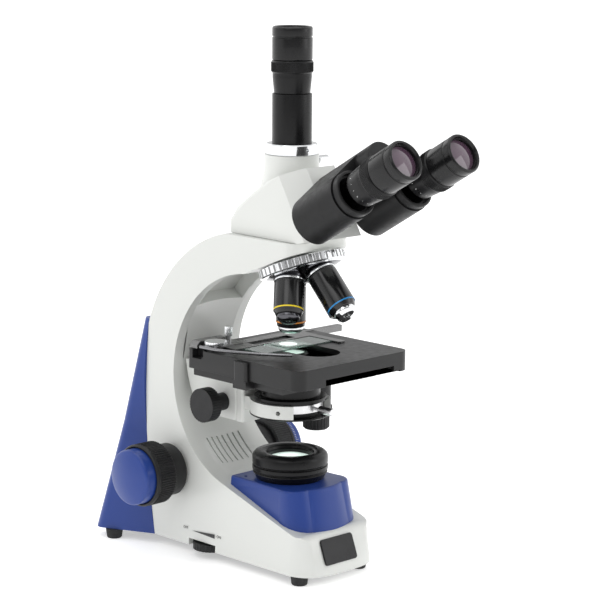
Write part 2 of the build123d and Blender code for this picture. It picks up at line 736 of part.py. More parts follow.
def coarse_knob(side):
    place = FOCUS if side > 0 else FOCUS * Rot(0, 180, 0)
    body = knurled(COARSE_R, COARSE_IN, COARSE_OUT - 3.5, KNURLS, 0.55, place)
    crown = [(FINE_R + 0.6, COARSE_OUT - 8), (COARSE_R - 0.55, COARSE_OUT - 8), (COARSE_R - 0.55, COARSE_OUT - 3.5),
             (COARSE_R - 0.9, COARSE_OUT - 1.6), (COARSE_R - 1.9, COARSE_OUT), (FINE_R + 0.6, COARSE_OUT)]
    body += turned(crown, place)
    body -= rod(FINE_R + 0.6, COARSE_OUT - 8, COARSE_OUT + 5, place)
    return body - rod(SLEEVE_R, COARSE_IN - 1, COARSE_IN + 6, place) - rod(SPINDLE_R + 0.4, 0, 100, place)


def fine_knob(side):
    place = FOCUS if side > 0 else FOCUS * Rot(0, 180, 0)
    inner = COARSE_OUT - 8 + GAP
    cyl_end = FINE_OUT - 2.0
    face = flat_face(Plane.XZ, ((0, inner), (FINE_R, inner)), ((FINE_R, inner), (FINE_R, cyl_end)),
                     ((FINE_R, cyl_end), (FINE_R - 0.6, cyl_end + 1.4), (FINE_R - 2.0, FINE_OUT)),
                     cap_arc(FINE_R - 2.0, FINE_OUT, FINE_DOME),
                     ((0, FINE_OUT + FINE_DOME), (0, inner)))
    body = place * revolve(face, Axis.Z)
    if side > 0:
        skirt = tube(FINE_SKIRT_R, FINE_R - 1, COARSE_OUT + GAP + 0.2, FINE_OUT - 3.0, place)
        body = body + skirt - rod(SPINDLE_R, inner - 1, inner + 7, place)
    body -= screw_hole(side)
    if side < 0:
        body += rod(SPINDLE_R, -inner - 1, inner + 7, FOCUS)
    return body


def screw_hole(side):
    """Small set screw hole in the rim of a fine knob, seen low at the front."""
    x = side * (FINE_OUT - 4.0)
    direction = (0, -sin(radians(25)), -cos(radians(25)))
    centre = (x, FOCUS_Y + direction[1] * FINE_R, FOCUS_Z + direction[2] * FINE_R)
    return Plane(origin=centre, z_dir=direction).location * Cylinder(0.9, 4)


# Focus slide in the arm, carriage block in front of it


def make_focus_slide():
    """Upright bar with the coarse rack, and the neck that carries the stage block."""
    bar = block(-NECK_HALF, NECK_HALF, RACK_Y + 1.2, SLIDE_BACK, SLIDE_LOW_Z, SLIDE_STEP_Z) \
        + block(-NECK_HALF, NECK_HALF, SLIDE_UP_Y, SLIDE_BACK, SLIDE_STEP_Z - 1, SLIDE_TOP_Z)
    pitch = 2 * pi * PINION_R / 16
    teeth = []
    z = SLIDE_LOW_Z + 1.0
    while z < SLIDE_STEP_Z - 12:
        teeth.append(block(-7, 7, RACK_Y, RACK_Y + 1.4, z, z + pitch * 0.42))
        z += pitch
    neck = block(-NECK_HALF + 0.5, NECK_HALF - 0.5, BLOCK_REAR - 8, SLIDE_UP_Y + 1, NECK_Z[0], NECK_Z[1])
    neck -= carriage_rear()
    wings = block(-GUIDE_X - 1.5, GUIDE_X + 1.5, SLIDE_BACK - 4.5, SLIDE_BACK - 1.5, SLIDE_STEP_Z, SLIDE_TOP_Z)
    body = bar + neck + wings
    for tooth in teeth:
        body += tooth
    return body


def carriage_rear():
    """Rear of the stage block, hollowed to pass the arm at its lowest position."""
    return Pos(0, 0, LIFT_DOWN) * along_x(ARM_EYE[0], ARM_EYE[1]) * Cylinder(CARRIAGE_R, 100)


def make_focus_guide():
    """Two gibs screwed to the arm on each side of the focus slide."""
    arm_y = ARM_EYE[0] + ARM_IN_R + TROUGH + WALL
    low, high = FOCUS_Z + 50.0, SLIDE_TOP_Z + LIFT_UP + 1.0
    rail = []
    for side in (-1, 1):
        x0, x1 = sorted((side * (NECK_HALF + GAP), side * (GUIDE_X + 7)))
        shape = block(x0, x1, arm_y - 14, SLIDE_BACK + 1.0, low, high)
        shape -= block(-GUIDE_X - 1.5 - GAP, GUIDE_X + 1.5 + GAP, SLIDE_BACK - 4.5 - GAP, SLIDE_BACK - 1.5 + GAP, 0, 300)
        rail.append(shape - casting_front_clear())
    return rail


def casting_front_clear():
    """The wall of the arm behind its inner curve, which the gibs stand against."""
    r = ARM_IN_R + TROUGH + WALL
    return along_x(ARM_EYE[0], ARM_EYE[1]) * Cylinder(r, 100)


def make_stage_carriage():
    """White block with the dovetail for the condenser in its front face."""
    top = STAGE_BASE_Z
    body = block(-BLOCK_HALF, BLOCK_HALF, BLOCK_FRONT, BLOCK_REAR + 6, BLOCK_Z, top)
    front = [e for e in body.edges() if abs(e.tangent_at(0.5).Z) > 0.9 and e.center().Y < BLOCK_FRONT + 1]
    body = fillet(front, 2.0) & carriage_rear()
    # lightened from below, with the slot for the condenser rack and its pinion
    body -= block(-BLOCK_HALF + 4, BLOCK_HALF - 4, COND_Y + 10, COND_Y + 24, BLOCK_Z - 1, top - 8)
    body -= dovetail(GAP, BLOCK_FRONT, BLOCK_Z - 1, top + 1)
    body -= block(-COND_RACK_HALF - GAP, COND_RACK_HALF + GAP, BLOCK_FRONT - 1, COND_Y - COND_PINION_R,
                  BLOCK_Z - 1, top + 1)
    body -= rod(COND_STEM_R + RUN, -40, 20, along_x(COND_Y, COND_Z))
    body -= block(-6, 6, COND_Y - COND_PINION_R - 2, COND_Y + COND_PINION_R + 1, COND_Z - 8, COND_Z + 8)
    return body


def dovetail(gap, face_y, low, high):
    """Dovetail tongue that stands back into the block from its front face."""
    w = DOVE_HALF + gap
    d = DOVE_DEPTH + gap
    outline = [(-w + 2.5, face_y - 0.5), (w - 2.5, face_y - 0.5), (w, face_y + d), (-w, face_y + d)]
    return extrude(polygon(Plane.XY.offset(low), outline), amount=high - low)


# Condenser carrier, body and knob


def make_condenser_carrier():
    """Plate on the dovetail, with the fork and the split ring that holds the condenser."""
    front = BLOCK_FRONT - GAP
    low = RING_Z - 11.5
    plate = block(-CARRIER_HALF, CARRIER_HALF, front - CARRIER_T, front, low, CARRIER_TOP)
    plate = fillet([e for e in plate.edges() if abs(e.tangent_at(0.5).Z) > 0.9 and e.center().Y < front - 1], 2.5)
    tongue = dovetail(0, BLOCK_FRONT, low, CARRIER_TOP)
    tongue += block(-COND_RACK_HALF, COND_RACK_HALF, BLOCK_FRONT, RACK_TIP - 1.4, low, CARRIER_TOP)
    pitch = 2 * pi * COND_PINION_R / 12
    z = COND_Z - 13
    rack = []
    while z < COND_Z + 24:
        rack.append(block(-COND_RACK_HALF, COND_RACK_HALF, RACK_TIP - 1.5, RACK_TIP, z, z + pitch * 0.42))
        z += pitch
    fork = block(-CARRIER_HALF + 2, CARRIER_HALF - 2, RING_IN - 6, front - CARRIER_T + 1, RING_Z, RING_Z + RING_H)
    ring = rod(RING_OUT, RING_Z, RING_Z + RING_H)
    body = plate + tongue + fork + ring
    for tooth in rack:
        body += tooth
    body -= rod(RING_IN, 100, CARRIER_TOP + 20)
    body -= rod(RING_OUT + 0.6, RING_Z - 2.2, RING_Z)
    # the ring is open towards the user, for the lever of the iris
    opening = RING_OUT * sin(radians(40))
    body -= block(-opening, opening, -60, -RING_IN * 0.5, RING_Z - 1, RING_Z + RING_H + 1)
    hole = Plane(origin=(0, 0, RING_Z + 5.0), x_dir=(0, 0, 1), z_dir=(-sin(radians(62)), -cos(radians(62)), 0))
    return body - hole.location * Pos(0, 0, RING_OUT - 2) * Cylinder(1.9, 12)


def make_condenser_body():
    z = RING_Z
    ring_fit = RING_IN - 0.1
    profile = [(COND_BORE, z - 1.6), (RING_OUT - 0.6, z - 1.6), (RING_OUT + 0.3, z - 1.0), (RING_OUT + 0.3, z - 0.2),
               (ring_fit, z - 0.2), (ring_fit, z + 3.0), (ring_fit - 2.6, z + 3.0), (ring_fit - 2.6, z + RING_H - 1.0),
               (ring_fit, z + RING_H - 1.0), (ring_fit, z + RING_H + 0.3), (FLANGE_R, z + RING_H + 0.3),
               (FLANGE_R, z + RING_H + 3.0),
               (CYL_R, z + RING_H + 4.0), (CYL_R, z + RING_H + 22.0), (CYL_R - 2.0, z + RING_H + 24.0),
               (TOP_LENS_R + 1.5, z + RING_H + 25.0), (TOP_LENS_R + 1.0, TOP_LENS_Z - 1.5),
               (TOP_LENS_R, TOP_LENS_Z - 0.6), (TOP_LENS_R - 2.5, TOP_LENS_Z - 0.6),
               (TOP_LENS_R - 2.5, TOP_LENS_Z - 6.0), (COND_BORE, TOP_LENS_Z - 14.0)]
    return turned(profile)


def make_condenser_lens():
    return domed(TOP_LENS_R - 2.6, TOP_LENS_Z - 6.0, TOP_LENS_Z - 1.6, 1.2)


def make_iris_ring():
    """Ring that turns on the waist of the condenser, with its lever towards the user."""
    waist = RING_IN - 2.7
    ring = tube(RING_IN - 0.5, waist + GAP, RING_Z + 3.0 + GAP, RING_Z + RING_H - 1.0 - GAP)
    neck = rod(1.3, waist + 1, 33.0, along_minus_y(IRIS_X, IRIS_Z))
    handle = turned([(0, 31.0), (2.4, 31.0), (3.3, 32.0), (3.3, 45.4), (2.8, 46.0), (0, 46.0)],
                    along_minus_y(IRIS_X, IRIS_Z))
    return ring + neck + handle


def along_minus_y(x, z):
    return Plane(origin=(x, 0, z), x_dir=(1, 0, 0), z_dir=(0, -1, 0)).location


def make_condenser_knob():
    place = along_x(COND_Y, COND_Z) * Rot(0, 180, 0)
    disc = knurled(COND_KNOB_R, COND_KNOB_OUT - 10.0, COND_KNOB_OUT, 36, 0.5, place)
    stem = rod(7.4, BLOCK_HALF + GAP, COND_KNOB_OUT - 9, place)
    spindle = rod(COND_STEM_R, -10, BLOCK_HALF + 2, place)
    waist = tube(COND_STEM_R + 1, COND_PINION_R - 1.3, -5.5, 5.5, place)
    return disc + stem + (spindle - waist) + toothed(COND_PINION_R, -4.5, 4.5, 12, place)


# Stage: fixed lower plate, cross-moving upper plate, holder and drives


def make_stage_base():
    top = SKIRT_Z - 0.5
    plate = block(-STAGE_LEFT + 4, STAGE_RIGHT - 14, -STAGE_FRONT + 22, 97.0, STAGE_BASE_Z, top)
    plate -= block(BLOCK_HALF, 200, STAGE_REAR - 4, 200, 0, 300)
    plate -= block(-200, -BLOCK_HALF, STAGE_REAR - 4, 200, 0, 300)
    for side in (-1, 1):
        x = side * RAIL_X
        plate += block(x - RAIL_HALF, x + RAIL_HALF, -38.0, BAR_Y - BAR_HALF - 12.0, top, UNDER_TOP - GAP)
    plate -= rod(CYL_R + 2.0, 100, 300)
    # edge with the rack of the Y drive
    edge = XY_X - XY_PINION_R - GAP
    plate -= block(edge - 1.4, 200, -200, 200, 0, 300)
    pitch = 2 * pi * XY_PINION_R / 14
    y = -6.0
    while y < STAGE_REAR - 5:
        plate += block(edge - 1.5, edge, y, y + pitch * 0.42, STAGE_BASE_Z + 0.5, top)
        y += pitch
    # block with the index of the Y scale, outside the skirt on the left
    index = block(-STAGE_LEFT - 3.6, -STAGE_LEFT + 8, -20.5, -5.5, STAGE_BASE_Z - 0.7, top)
    tower = block(-STAGE_LEFT - 3.6, -STAGE_LEFT - GAP - 0.1, -20.5, -5.5, STAGE_BASE_Z - 0.7, STAGE_TOP - 1.2)
    outer = [e for e in tower.edges() if abs(e.tangent_at(0.5).Z) > 0.9 and e.center().X < -STAGE_LEFT - 2]
    return plate + index + fillet(outer, 2.5)


def make_stage_top():
    width = STAGE_LEFT + STAGE_RIGHT
    cx = (STAGE_RIGHT - STAGE_LEFT) / 2
    body = block(-STAGE_LEFT, STAGE_RIGHT, -STAGE_FRONT, STAGE_REAR, SKIRT_Z, STAGE_TOP)
    front = [e for e in body.edges() if abs(e.tangent_at(0.5).Z) > 0.9 and e.center().Y < 0]
    body = fillet(front, 10.0)
    body = fillet([e for e in body.edges() if abs(e.tangent_at(0.5).Z) > 0.9 and e.center().Y > 0
                   and e.length > STAGE_SKIRT - 1 and abs(e.center().X - cx) > width / 2 - 1], 4.0)
    w = STAGE_WALL
    cavity = block(-STAGE_LEFT + w, STAGE_RIGHT - w, -STAGE_FRONT + w, STAGE_REAR - w, SKIRT_Z - 1, UNDER_TOP)
    keep = block(-200, 200, BAR_Y - BAR_HALF - 3, 200, BAR_Z - 3, 300)
    body -= cavity - keep
    # guide strips beside the rails
    for side in (-1, 1):
        x0, x1 = sorted((side * (RAIL_X + RAIL_HALF + GAP), side * (RAIL_X + RAIL_HALF + 3.3)))
        body += block(x0, x1, -STAGE_FRONT + w, BAR_Y - BAR_HALF - 2, UNDER_TOP - 9, UNDER_TOP)
    # light slot, channel for the holder bar, shallow front skirt
    slot = extrude(flat_face(Plane.XY.offset(SKIRT_Z - 5),
                             ((-SLOT_HALF, SLOT_REAR - SLOT_HALF), (-SLOT_HALF, -SLOT_FRONT + SLOT_HALF)),
                             ((-SLOT_HALF, -SLOT_FRONT + SLOT_HALF), (0, -SLOT_FRONT),
                              (SLOT_HALF, -SLOT_FRONT + SLOT_HALF)),
                             ((SLOT_HALF, -SLOT_FRONT + SLOT_HALF), (SLOT_HALF, SLOT_REAR - SLOT_HALF)),
                             ((SLOT_HALF, SLOT_REAR - SLOT_HALF), (0, SLOT_REAR),
                              (-SLOT_HALF, SLOT_REAR - SLOT_HALF))), amount=40)
    body -= slot
    body -= block(-200, 200, BAR_Y - BAR_HALF - GAP, BAR_Y + BAR_HALF + GAP, BAR_Z - GAP, STAGE_TOP + 1)
    body -= block(-STAGE_LEFT - 1, -STAGE_LEFT + 7, BAR_Y - 1.5, BAR_Y + 9.5, BAR_Z - 2.2, STAGE_TOP + 1)
    body -= block(-36, 42, -STAGE_FRONT - 1, -STAGE_FRONT + w + 1, SKIRT_Z - 1, STAGE_TOP - 10.5)
    body -= block(42, 49, -STAGE_FRONT - 1, -STAGE_FRONT + w + 1, SKIRT_Z - 1, SKIRT_Z + 1.5)
    # pad on the right that carries the drive
    body += block(XY_X - 5.5, STAGE_RIGHT - w + 0.5, XY_Y - 12, XY_Y + 12, UNDER_TOP - 6, UNDER_TOP)
    return body - rod(XY_CORE_R + RUN, 100, UNDER_TOP - 1, Pos(XY_X, XY_Y, 0))


def make_xy_bracket():
    """Black bearing block that hangs from the upper plate beside the condenser."""
    x0 = XY_X - 6.5
    body = block(x0, XY_X + 8.2, XY_Y - 9, XY_Y + 9, XY_BRACKET_Z, STAGE_BASE_Z)
    uprights = [e for e in body.edges() if abs(e.tangent_at(0.5).Z) > 0.9]
    body = fillet(uprights, 3.0)
    body += block(XY_X + XY_PINION_R + 0.5, XY_X + 8.2, XY_Y - 9, XY_Y + 9, STAGE_BASE_Z - 3, UNDER_TOP - 6)
    body -= block(x0 - 1, x0 + 4, XY_Y - 5, XY_Y + 5, XY_BRACKET_Z + 6, XY_BRACKET_Z + 11)
    body -= block(x0 - 1, x0 + 4, XY_Y - 5, XY_Y + 5, XY_BRACKET_Z + 13, XY_BRACKET_Z + 18)
    return body - rod(XY_TUBE_R + RUN, 100, 300, Pos(XY_X, XY_Y, 0))


def make_y_knob():
    """Upper knob, on the hollow shaft that drives the upper plate."""
    place = Pos(XY_X, XY_Y, 0)
    grip = knurled(UPPER_KNOB_R, 119.0, 124.5, 28, 0.5, place)
    drum = turned([(XY_CORE_R + RUN, 124.5), (UPPER_KNOB_R - 1.2, 124.5), (UPPER_KNOB_R - 1.2, 143.0),
                   (UPPER_KNOB_R - 2.2, 144.0), (XY_CORE_R + RUN, 144.0)], place)
    shaft = rod(XY_TUBE_R, 143.5, STAGE_BASE_Z + 1.0, place)
    pinion = toothed(XY_PINION_R, STAGE_BASE_Z + 0.6, SKIRT_Z - 0.8, 14, place)
    return grip + drum + shaft + pinion - rod(XY_CORE_R + RUN, 100, 200, place)


def make_x_knob():
    """Lower knob, on the core shaft that moves the specimen holder."""
    place = Pos(XY_X, XY_Y, 0)
    grip = knurled(LOWER_KNOB_R, 106.0, 118.4, 22, 0.7, place)
    foot = turned([(0, 104.6), (LOWER_KNOB_R - 1.6, 104.6), (LOWER_KNOB_R - 0.6, 106.0), (0, 106.0)], place)
    core = rod(XY_CORE_R, 118.0, UNDER_TOP - 1.5, place)
    wheel = rod(XY_PINION_R - 0.6, 169.5, 174.0, place)
    return grip + foot + core + wheel


def make_holder_slider():
    """Bar in the rear channel, bridge up through the top, thin plate with the fixed jaw."""
    plate_z = STAGE_TOP + GAP
    bar = block(BAR_START, BAR_END, BAR_Y - BAR_HALF, BAR_Y + BAR_HALF, BAR_Z, plate_z + 0.1)
    plate = block(-47, 46, SLIDE_Y + SLIDE_W / 2 + 1.0, BAR_Y + 4, plate_z, plate_z + PLATE_T)
    plate -= block(-22, 24, SLIDE_Y + SLIDE_W / 2 + 4.5, BAR_Y - BAR_HALF - 4, 0, 300)
    jaw = block(SLIDE_X + SLIDE_L / 2 + 0.2, SLIDE_X + SLIDE_L / 2 + 8, SLIDE_Y - SLIDE_W / 2 - 9,
                SLIDE_Y + SLIDE_W / 2 + 2, plate_z, plate_z + PLATE_T)
    jaw = fillet([e for e in jaw.edges() if abs(e.tangent_at(0.5).Z) > 0.9 and e.center().Y < 0], 2.4)
    rail = block(-STAGE_LEFT + 2, PIN_X - 2.4, FINGER_Y + 10.5, STAGE_REAR - 2, plate_z, plate_z + 5.8)
    rail = chamfer([e for e in rail.edges() if abs(e.tangent_at(0.5).Y) > 0.9 and e.center().X < -50
                    and e.center().Z > plate_z + 5], 3.0)
    link = block(FINGER_X - 5, PIN_X + 6, FINGER_Y - 4, STAGE_REAR - 5, plate_z, plate_z + 2.0)
    link = chamfer([e for e in link.edges() if abs(e.tangent_at(0.5).Z) > 0.9 and e.center().Y < FINGER_Y], 3.5)
    body = bar + plate + jaw + rail + link
    return body - rod(FINGER_PIN_R + RUN, plate_z - 1, plate_z + 3, Pos(FINGER_X, FINGER_Y, 0))


def make_holder_screws():
    """Large disc on the finger pivot, and the tall clamping pin."""
    z = STAGE_TOP + GAP
    disc = knurled(9.2, z + 4.0, z + 6.6, 40, 0.3, Pos(FINGER_X, FINGER_Y, 0)) \
        + rod(FINGER_PIN_R, z + 0.2, z + 4.2, Pos(FINGER_X, FINGER_Y, 0))
    pin = knurled(3.3, z + 6.0, z + 14.0, 18, 0.3, Pos(PIN_X, PIN_Y, 0)) \
        + rod(2.2, z + 2.0, z + 6.2, Pos(PIN_X, PIN_Y, 0))
    return [disc, pin]


def make_spring_finger():
    """Curved steel finger that presses the slide against the jaw."""
    z = STAGE_TOP + GAP + 2.8
    hub = tube(6.5, FINGER_PIN_R + RUN, z - 0.6, z + 1.0, Pos(FINGER_X, FINGER_Y, 0))
    heel = (FINGER_X - 13.0, FINGER_Y + 4.5)
    elbow = (FINGER_X - 12.0, FINGER_Y - 12.0)
    tip = (-35.0, -38.0)
    bow = ((elbow[0] + tip[0]) / 2 - 3.4, (elbow[1] + tip[1]) / 2 - 1.6)
    arm_path = Edge.make_three_point_arc((elbow[0], elbow[1], z), (bow[0], bow[1], z), (tip[0], tip[1], z))
    start = arm_path.tangent_at(0)
    arm = sweep(Plane(origin=(elbow[0], elbow[1], z), z_dir=start) * Circle(1.25), path=arm_path)
    back = Plane(origin=(heel[0], heel[1], z), z_dir=(elbow[0] - heel[0], elbow[1] - heel[1], 0)).location \
        * Pos(0, 0, hypot(elbow[0] - heel[0], elbow[1] - heel[1]) / 2) \
        * Cylinder(1.25, hypot(elbow[0] - heel[0], elbow[1] - heel[1]) + 0.6)
    web = block(FINGER_X - 12.6, FINGER_X - 4, FINGER_Y - 3.5, FINGER_Y + 3.0, z - 0.6, z + 1.0)
    return hub + arm + back + web


def make_specimen_slide():
    z = STAGE_TOP
    glass = block(SLIDE_X - SLIDE_L / 2, SLIDE_X + SLIDE_L / 2, SLIDE_Y - SLIDE_W / 2, SLIDE_Y + SLIDE_W / 2,
                  z, z + SLIDE_T)
    return glass


# Nosepiece: fixed seat with its stud, turning turret, four objectives

def objective_axis(angle):
    """Local Z runs down one objective axis from the apex; angle is about the turret axis."""
    return TURRET_AXIS * Rot(0, 0, angle) * Rot(0, TILT, 0)


def make_nosepiece_seat():
    seat = rod(SEAT_R, SEAT_TOP_Q, RING_TOP - GAP, TURRET_AXIS)
    seat -= rod(BEAM_R, 200, 300)
    stud = rod(STUD_R, RING_TOP - 1, TURRET_LOW + 1.5, TURRET_AXIS)
    cap = turned([(0, TURRET_LOW + GAP), (7.0, TURRET_LOW + GAP), (7.0, TURRET_LOW + 1.4), (5.5, TURRET_LOW + 2.4),
                  (0, TURRET_LOW + 2.4)], TURRET_AXIS)
    return seat + stud + cap


def make_turret():
    low = RING_TOP + TURRET_H
    profile = [(STUD_R + RUN, RING_TOP), (TURRET_R - 2.2, RING_TOP), (TURRET_R, RING_TOP + 1.2),
               (TURRET_R, low - 0.8), (TURRET_R - 1.2, low), (TURRET_R - 2.4, low), (31.5, low + 0.9),
               (26.0, low + 2.8), (17.0, low + 6.4), (9.5, TURRET_LOW), (STUD_R + RUN, TURRET_LOW)]
    body = turned(profile, TURRET_AXIS)
    flute = Pos(TURRET_R + 0.9, 0, RING_TOP + TURRET_H / 2 + 0.2) * Cylinder(1.9, TURRET_H - 2.2)
    body -= around(TURRET_AXIS, FLUTES, flute)
    for length, angle, tip in OBJECTIVES.values():
        place = objective_axis(angle)
        body += rod(OBJ_R + 0.7, RING_TOP + 8, SEAT_L, place)
    body -= rod(STUD_R + RUN, RING_TOP - 1, TURRET_LOW + 5, TURRET_AXIS)
    body -= rod(60, TURRET_LOW, TURRET_LOW + 30, TURRET_AXIS) & rod(8.6, TURRET_LOW, TURRET_LOW + 30, TURRET_AXIS)
    for length, angle, tip in OBJECTIVES.values():
        place = objective_axis(angle)
        body -= rod(THREAD_R, SEAT_L - 4.5, SEAT_L + 1, place)
        body -= rod(BEAM_R, RING_TOP - 6, SEAT_L, place)
    return body


def make_objective(length, angle, tip):
    """One objective, from its thread down to the metal tip."""
    end = SEAT_L + length
    bore = 5.2
    profile = [(bore, SEAT_L - 4.2), (THREAD_R, SEAT_L - 4.2), (THREAD_R, SEAT_L), (OBJ_R + 0.4, SEAT_L),
               (OBJ_R + 0.4, SEAT_L + 2.2), (OBJ_R - 0.5, SEAT_L + 2.5), (OBJ_R - 0.5, SEAT_L + 3.3),
               (OBJ_R, SEAT_L + 3.6), (OBJ_R, end - 11.6), (OBJ_R - 0.3, end - 11.6), (OBJ_R - 0.3, end - 10.4),
               (OBJ_R, end - 10.4), (OBJ_R, end - 8.4), (tip + 2.6, end - 5.4), (tip + 1.6, end - 4.2),
               (tip + 1.6, end - 2.6), (tip, end - 1.4), (tip - 0.8, end), (3.4, end),
               (3.4, end - 1.6), (bore - 1.6, end - 1.6), (bore - 1.6, end - 6), (bore, end - 8)]
    return turned(profile, objective_axis(angle))


def make_objective_lenses():
    lenses = []
    for length, angle, tip in OBJECTIVES.values():
        end = SEAT_L + length
        lenses.append(turned([(0, end - 1.6), (3.3, end - 1.6), (3.3, end - 0.9), (1.8, end - 0.5), (0, end - 0.3)],
                             objective_axis(angle)))
    return lenses


# Head: white housing with the upright port and the swinging binocular part

BINO = Plane(origin=(0, 0, BEND_Z), x_dir=(1, 0, 0), z_dir=(0, -cos(E), sin(E))).location


def head_section(inset):
    """Section across the inclined axis: level sides, then two facets to a narrow front."""
    rear = -90.0
    crease = HEAD_HALF - inset
    return [(-HEAD_HALF_REAR + 2 + inset, rear), (-crease, CREASE_STATION - inset),
            (-15.5 + inset * 0.5, FACE_STATION - inset),
            (15.5 - inset * 0.5, FACE_STATION - inset), (crease, CREASE_STATION - inset),
            (HEAD_HALF_REAR - 2 - inset, rear)]


def make_head_housing():
    # the section is drawn in (x, along the inclined axis) and run up square to it
    up = Plane(origin=(0, 0, BEND_Z), x_dir=(1, 0, 0), z_dir=(0, -sin(E), -cos(E)))
    solid = extrude(polygon(up, head_section(0)), amount=140, both=True)
    outline = [(-NOSE_FRONT + 0.6, HEAD_Z), (-58.0, HEAD_Z + 4.5), (-75.0, HEAD_Z + 8.0), (-75.0, 345.0),
               (-30.0, 336.5), (8.0, 321.5), (23.0, 312.0), (40.5, 299.5), (49.0, 289.0), (50.0, HEAD_Z)]
    profile = extrude(polygon(Plane.YZ, outline), amount=60, both=True)
    body = solid & profile
    upright = [e for e in body.edges() if e.center().Y > 20 and abs(abs(e.center().X) - 22) < 8
               and e.length > 6 and abs(e.tangent_at(0.5).X) < 0.5]
    body = fillet(upright, 6.0)
    port = rod(PORT_R, 300, PORT_TOP)
    skirt = turned([(0, 314), (PORT_R + 3.2, 314), (PORT_R + 2.6, 322), (PORT_R + 0.8, 328), (PORT_R, 332), (0, 332)])
    body = body + port + skirt + rod(HEAD_PIVOT_R, SEAM_Z - 5.5, HEAD_Z + 1)
    # light path, prism room, tube bore and the bores of the shaft and the pull rod
    body -= rod(LIGHT_R + 1, 200, 400)
    body -= block(-13, 13, -15, 15, BEND_Z - 6, BEND_Z + 24)
    body -= rod(TUBE_R + 0.1, PORT_TOP - 4.2, PORT_TOP + 10)
    body -= rod(PIVOT_R, FACE_STATION - 22, FACE_STATION + 10, BINO)
    body -= rod(ROD_R * 0.62 + RUN, 14, 60, along_x(0, ROD_Z))
    return body


def make_prism_block():
    """Glass beam splitter that feeds the port and the eyetubes."""
    outline = [(-14.5, BEND_Z - 5.5), (14.5, BEND_Z - 5.5), (14.5, BEND_Z + 23.5), (-14.5, BEND_Z + 23.5)]
    prism = extrude(polygon(Plane.YZ, outline), amount=12.5, both=True)
    return chamfer([e for e in prism.edges() if abs(e.tangent_at(0.5).X) > 0.9 and e.center().Z > BEND_Z
                    and e.center().Y > 0], 8)


def make_port_ring():
    z0 = PORT_TOP
    body = turned([(TUBE_R, z0), (CHROME_R - 0.6, z0), (CHROME_R, z0 + 0.6), (CHROME_R, z0 + CHROME_H - 1.0),
                   (CHROME_R - 0.6, z0 + CHROME_H), (TUBE_R, z0 + CHROME_H)])
    hole = Plane(origin=(0, 0, z0 + CHROME_H / 2), x_dir=(0, 0, 1), z_dir=(-sin(radians(7)), -cos(radians(7)), 0))
    return body - hole.location * Pos(0, 0, CHROME_R) * Cylinder(1.4, 6)


def barrel_profile(low, bore):
    """Tapered barrel with its knurled ring, as (radius, height) from low upwards."""
    return [(bore, low), (14.6, low), (15.9, low + 13.0), (15.9, low + 16.8), (DIOPTER_R, low + 17.4),
            (DIOPTER_R, low + 26.0), (DIOPTER_R - 0.5, low + 26.8), (bore, low + 26.8)]


def make_photo_tube():
    body = turned([(13.5, PORT_TOP - 4.0), (TUBE_R, PORT_TOP - 4.0), (TUBE_R, TUBE_TOP), (13.5, TUBE_TOP)])
    return body + turned(barrel_profile(TUBE_TOP, EYE_TUBE_R + 0.05))


def eyepiece_body(low, place):
    """Eyepiece with its chimney below low and its rim EYE_H above."""
    top = low + EYE_H
    profile = [(9.6, low - 20.0), (EYE_TUBE_R, low - 20.0), (EYE_TUBE_R, low), (EYE_R - 0.7, low),
               (EYE_R, low + 0.7), (EYE_R, top - 9.0), (EYE_R - 0.6, top - 8.7), (EYE_R - 0.6, top - 8.0),
               (EYE_R, top - 7.7), (EYE_R, top - 1.2), (EYE_R - 1.0, top), (EYE_LENS_R + 1.2, top),
               (EYE_LENS_R + 0.1, top - 2.4), (EYE_LENS_R + 0.1, top - 7.0), (9.6, top - 7.0)]
    return turned(profile, place)


def eyepiece_lens(low, place):
    top = low + EYE_H
    return domed(EYE_LENS_R, top - 7.0, top - 4.6, 1.7, place)


def make_light_rod():
    """Pull rod that sends the light to the port."""
    place = along_x(0, ROD_Z)
    return rod(ROD_R * 0.62, 14.5, PORT_R + 7.5, place) + turned(
        [(0, PORT_R + 7.0), (ROD_R - 0.4, PORT_R + 7.0), (ROD_R, PORT_R + 7.5), (ROD_R, PORT_R + 17.4),
         (ROD_R - 0.5, PORT_R + 18.0), (0, PORT_R + 18.0)], place)


# Eyetubes: two housings that swing about one inclined shaft, geared to mirror each other


def tube_centre(side):
    a = radians(SWING_REST)
    return (side * ARM_REACH * cos(a), -ARM_REACH * sin(a))


def web_face(side, station):
    """Flat web from the swing axis to the tube: tangent above, narrow below."""
    dx, dy = tube_centre(side)[0] / ARM_REACH, tube_centre(side)[1] / ARM_REACH
    mx, my = -dy * side, dx * side
    lean = asin((SHELL_R - LOBE_R) / ARM_REACH)
    nx = mx * cos(lean) - dx * sin(lean)
    ny = my * cos(lean) - dy * sin(lean)
    low = 12.0
    points = [(LOBE_R * nx, LOBE_R * ny), (ARM_REACH * dx + SHELL_R * nx, ARM_REACH * dy + SHELL_R * ny),
              (ARM_REACH * dx - low * mx, ARM_REACH * dy - low * my), (-low * mx, -low * my)]
    return polygon(Plane(BINO).offset(station), points)


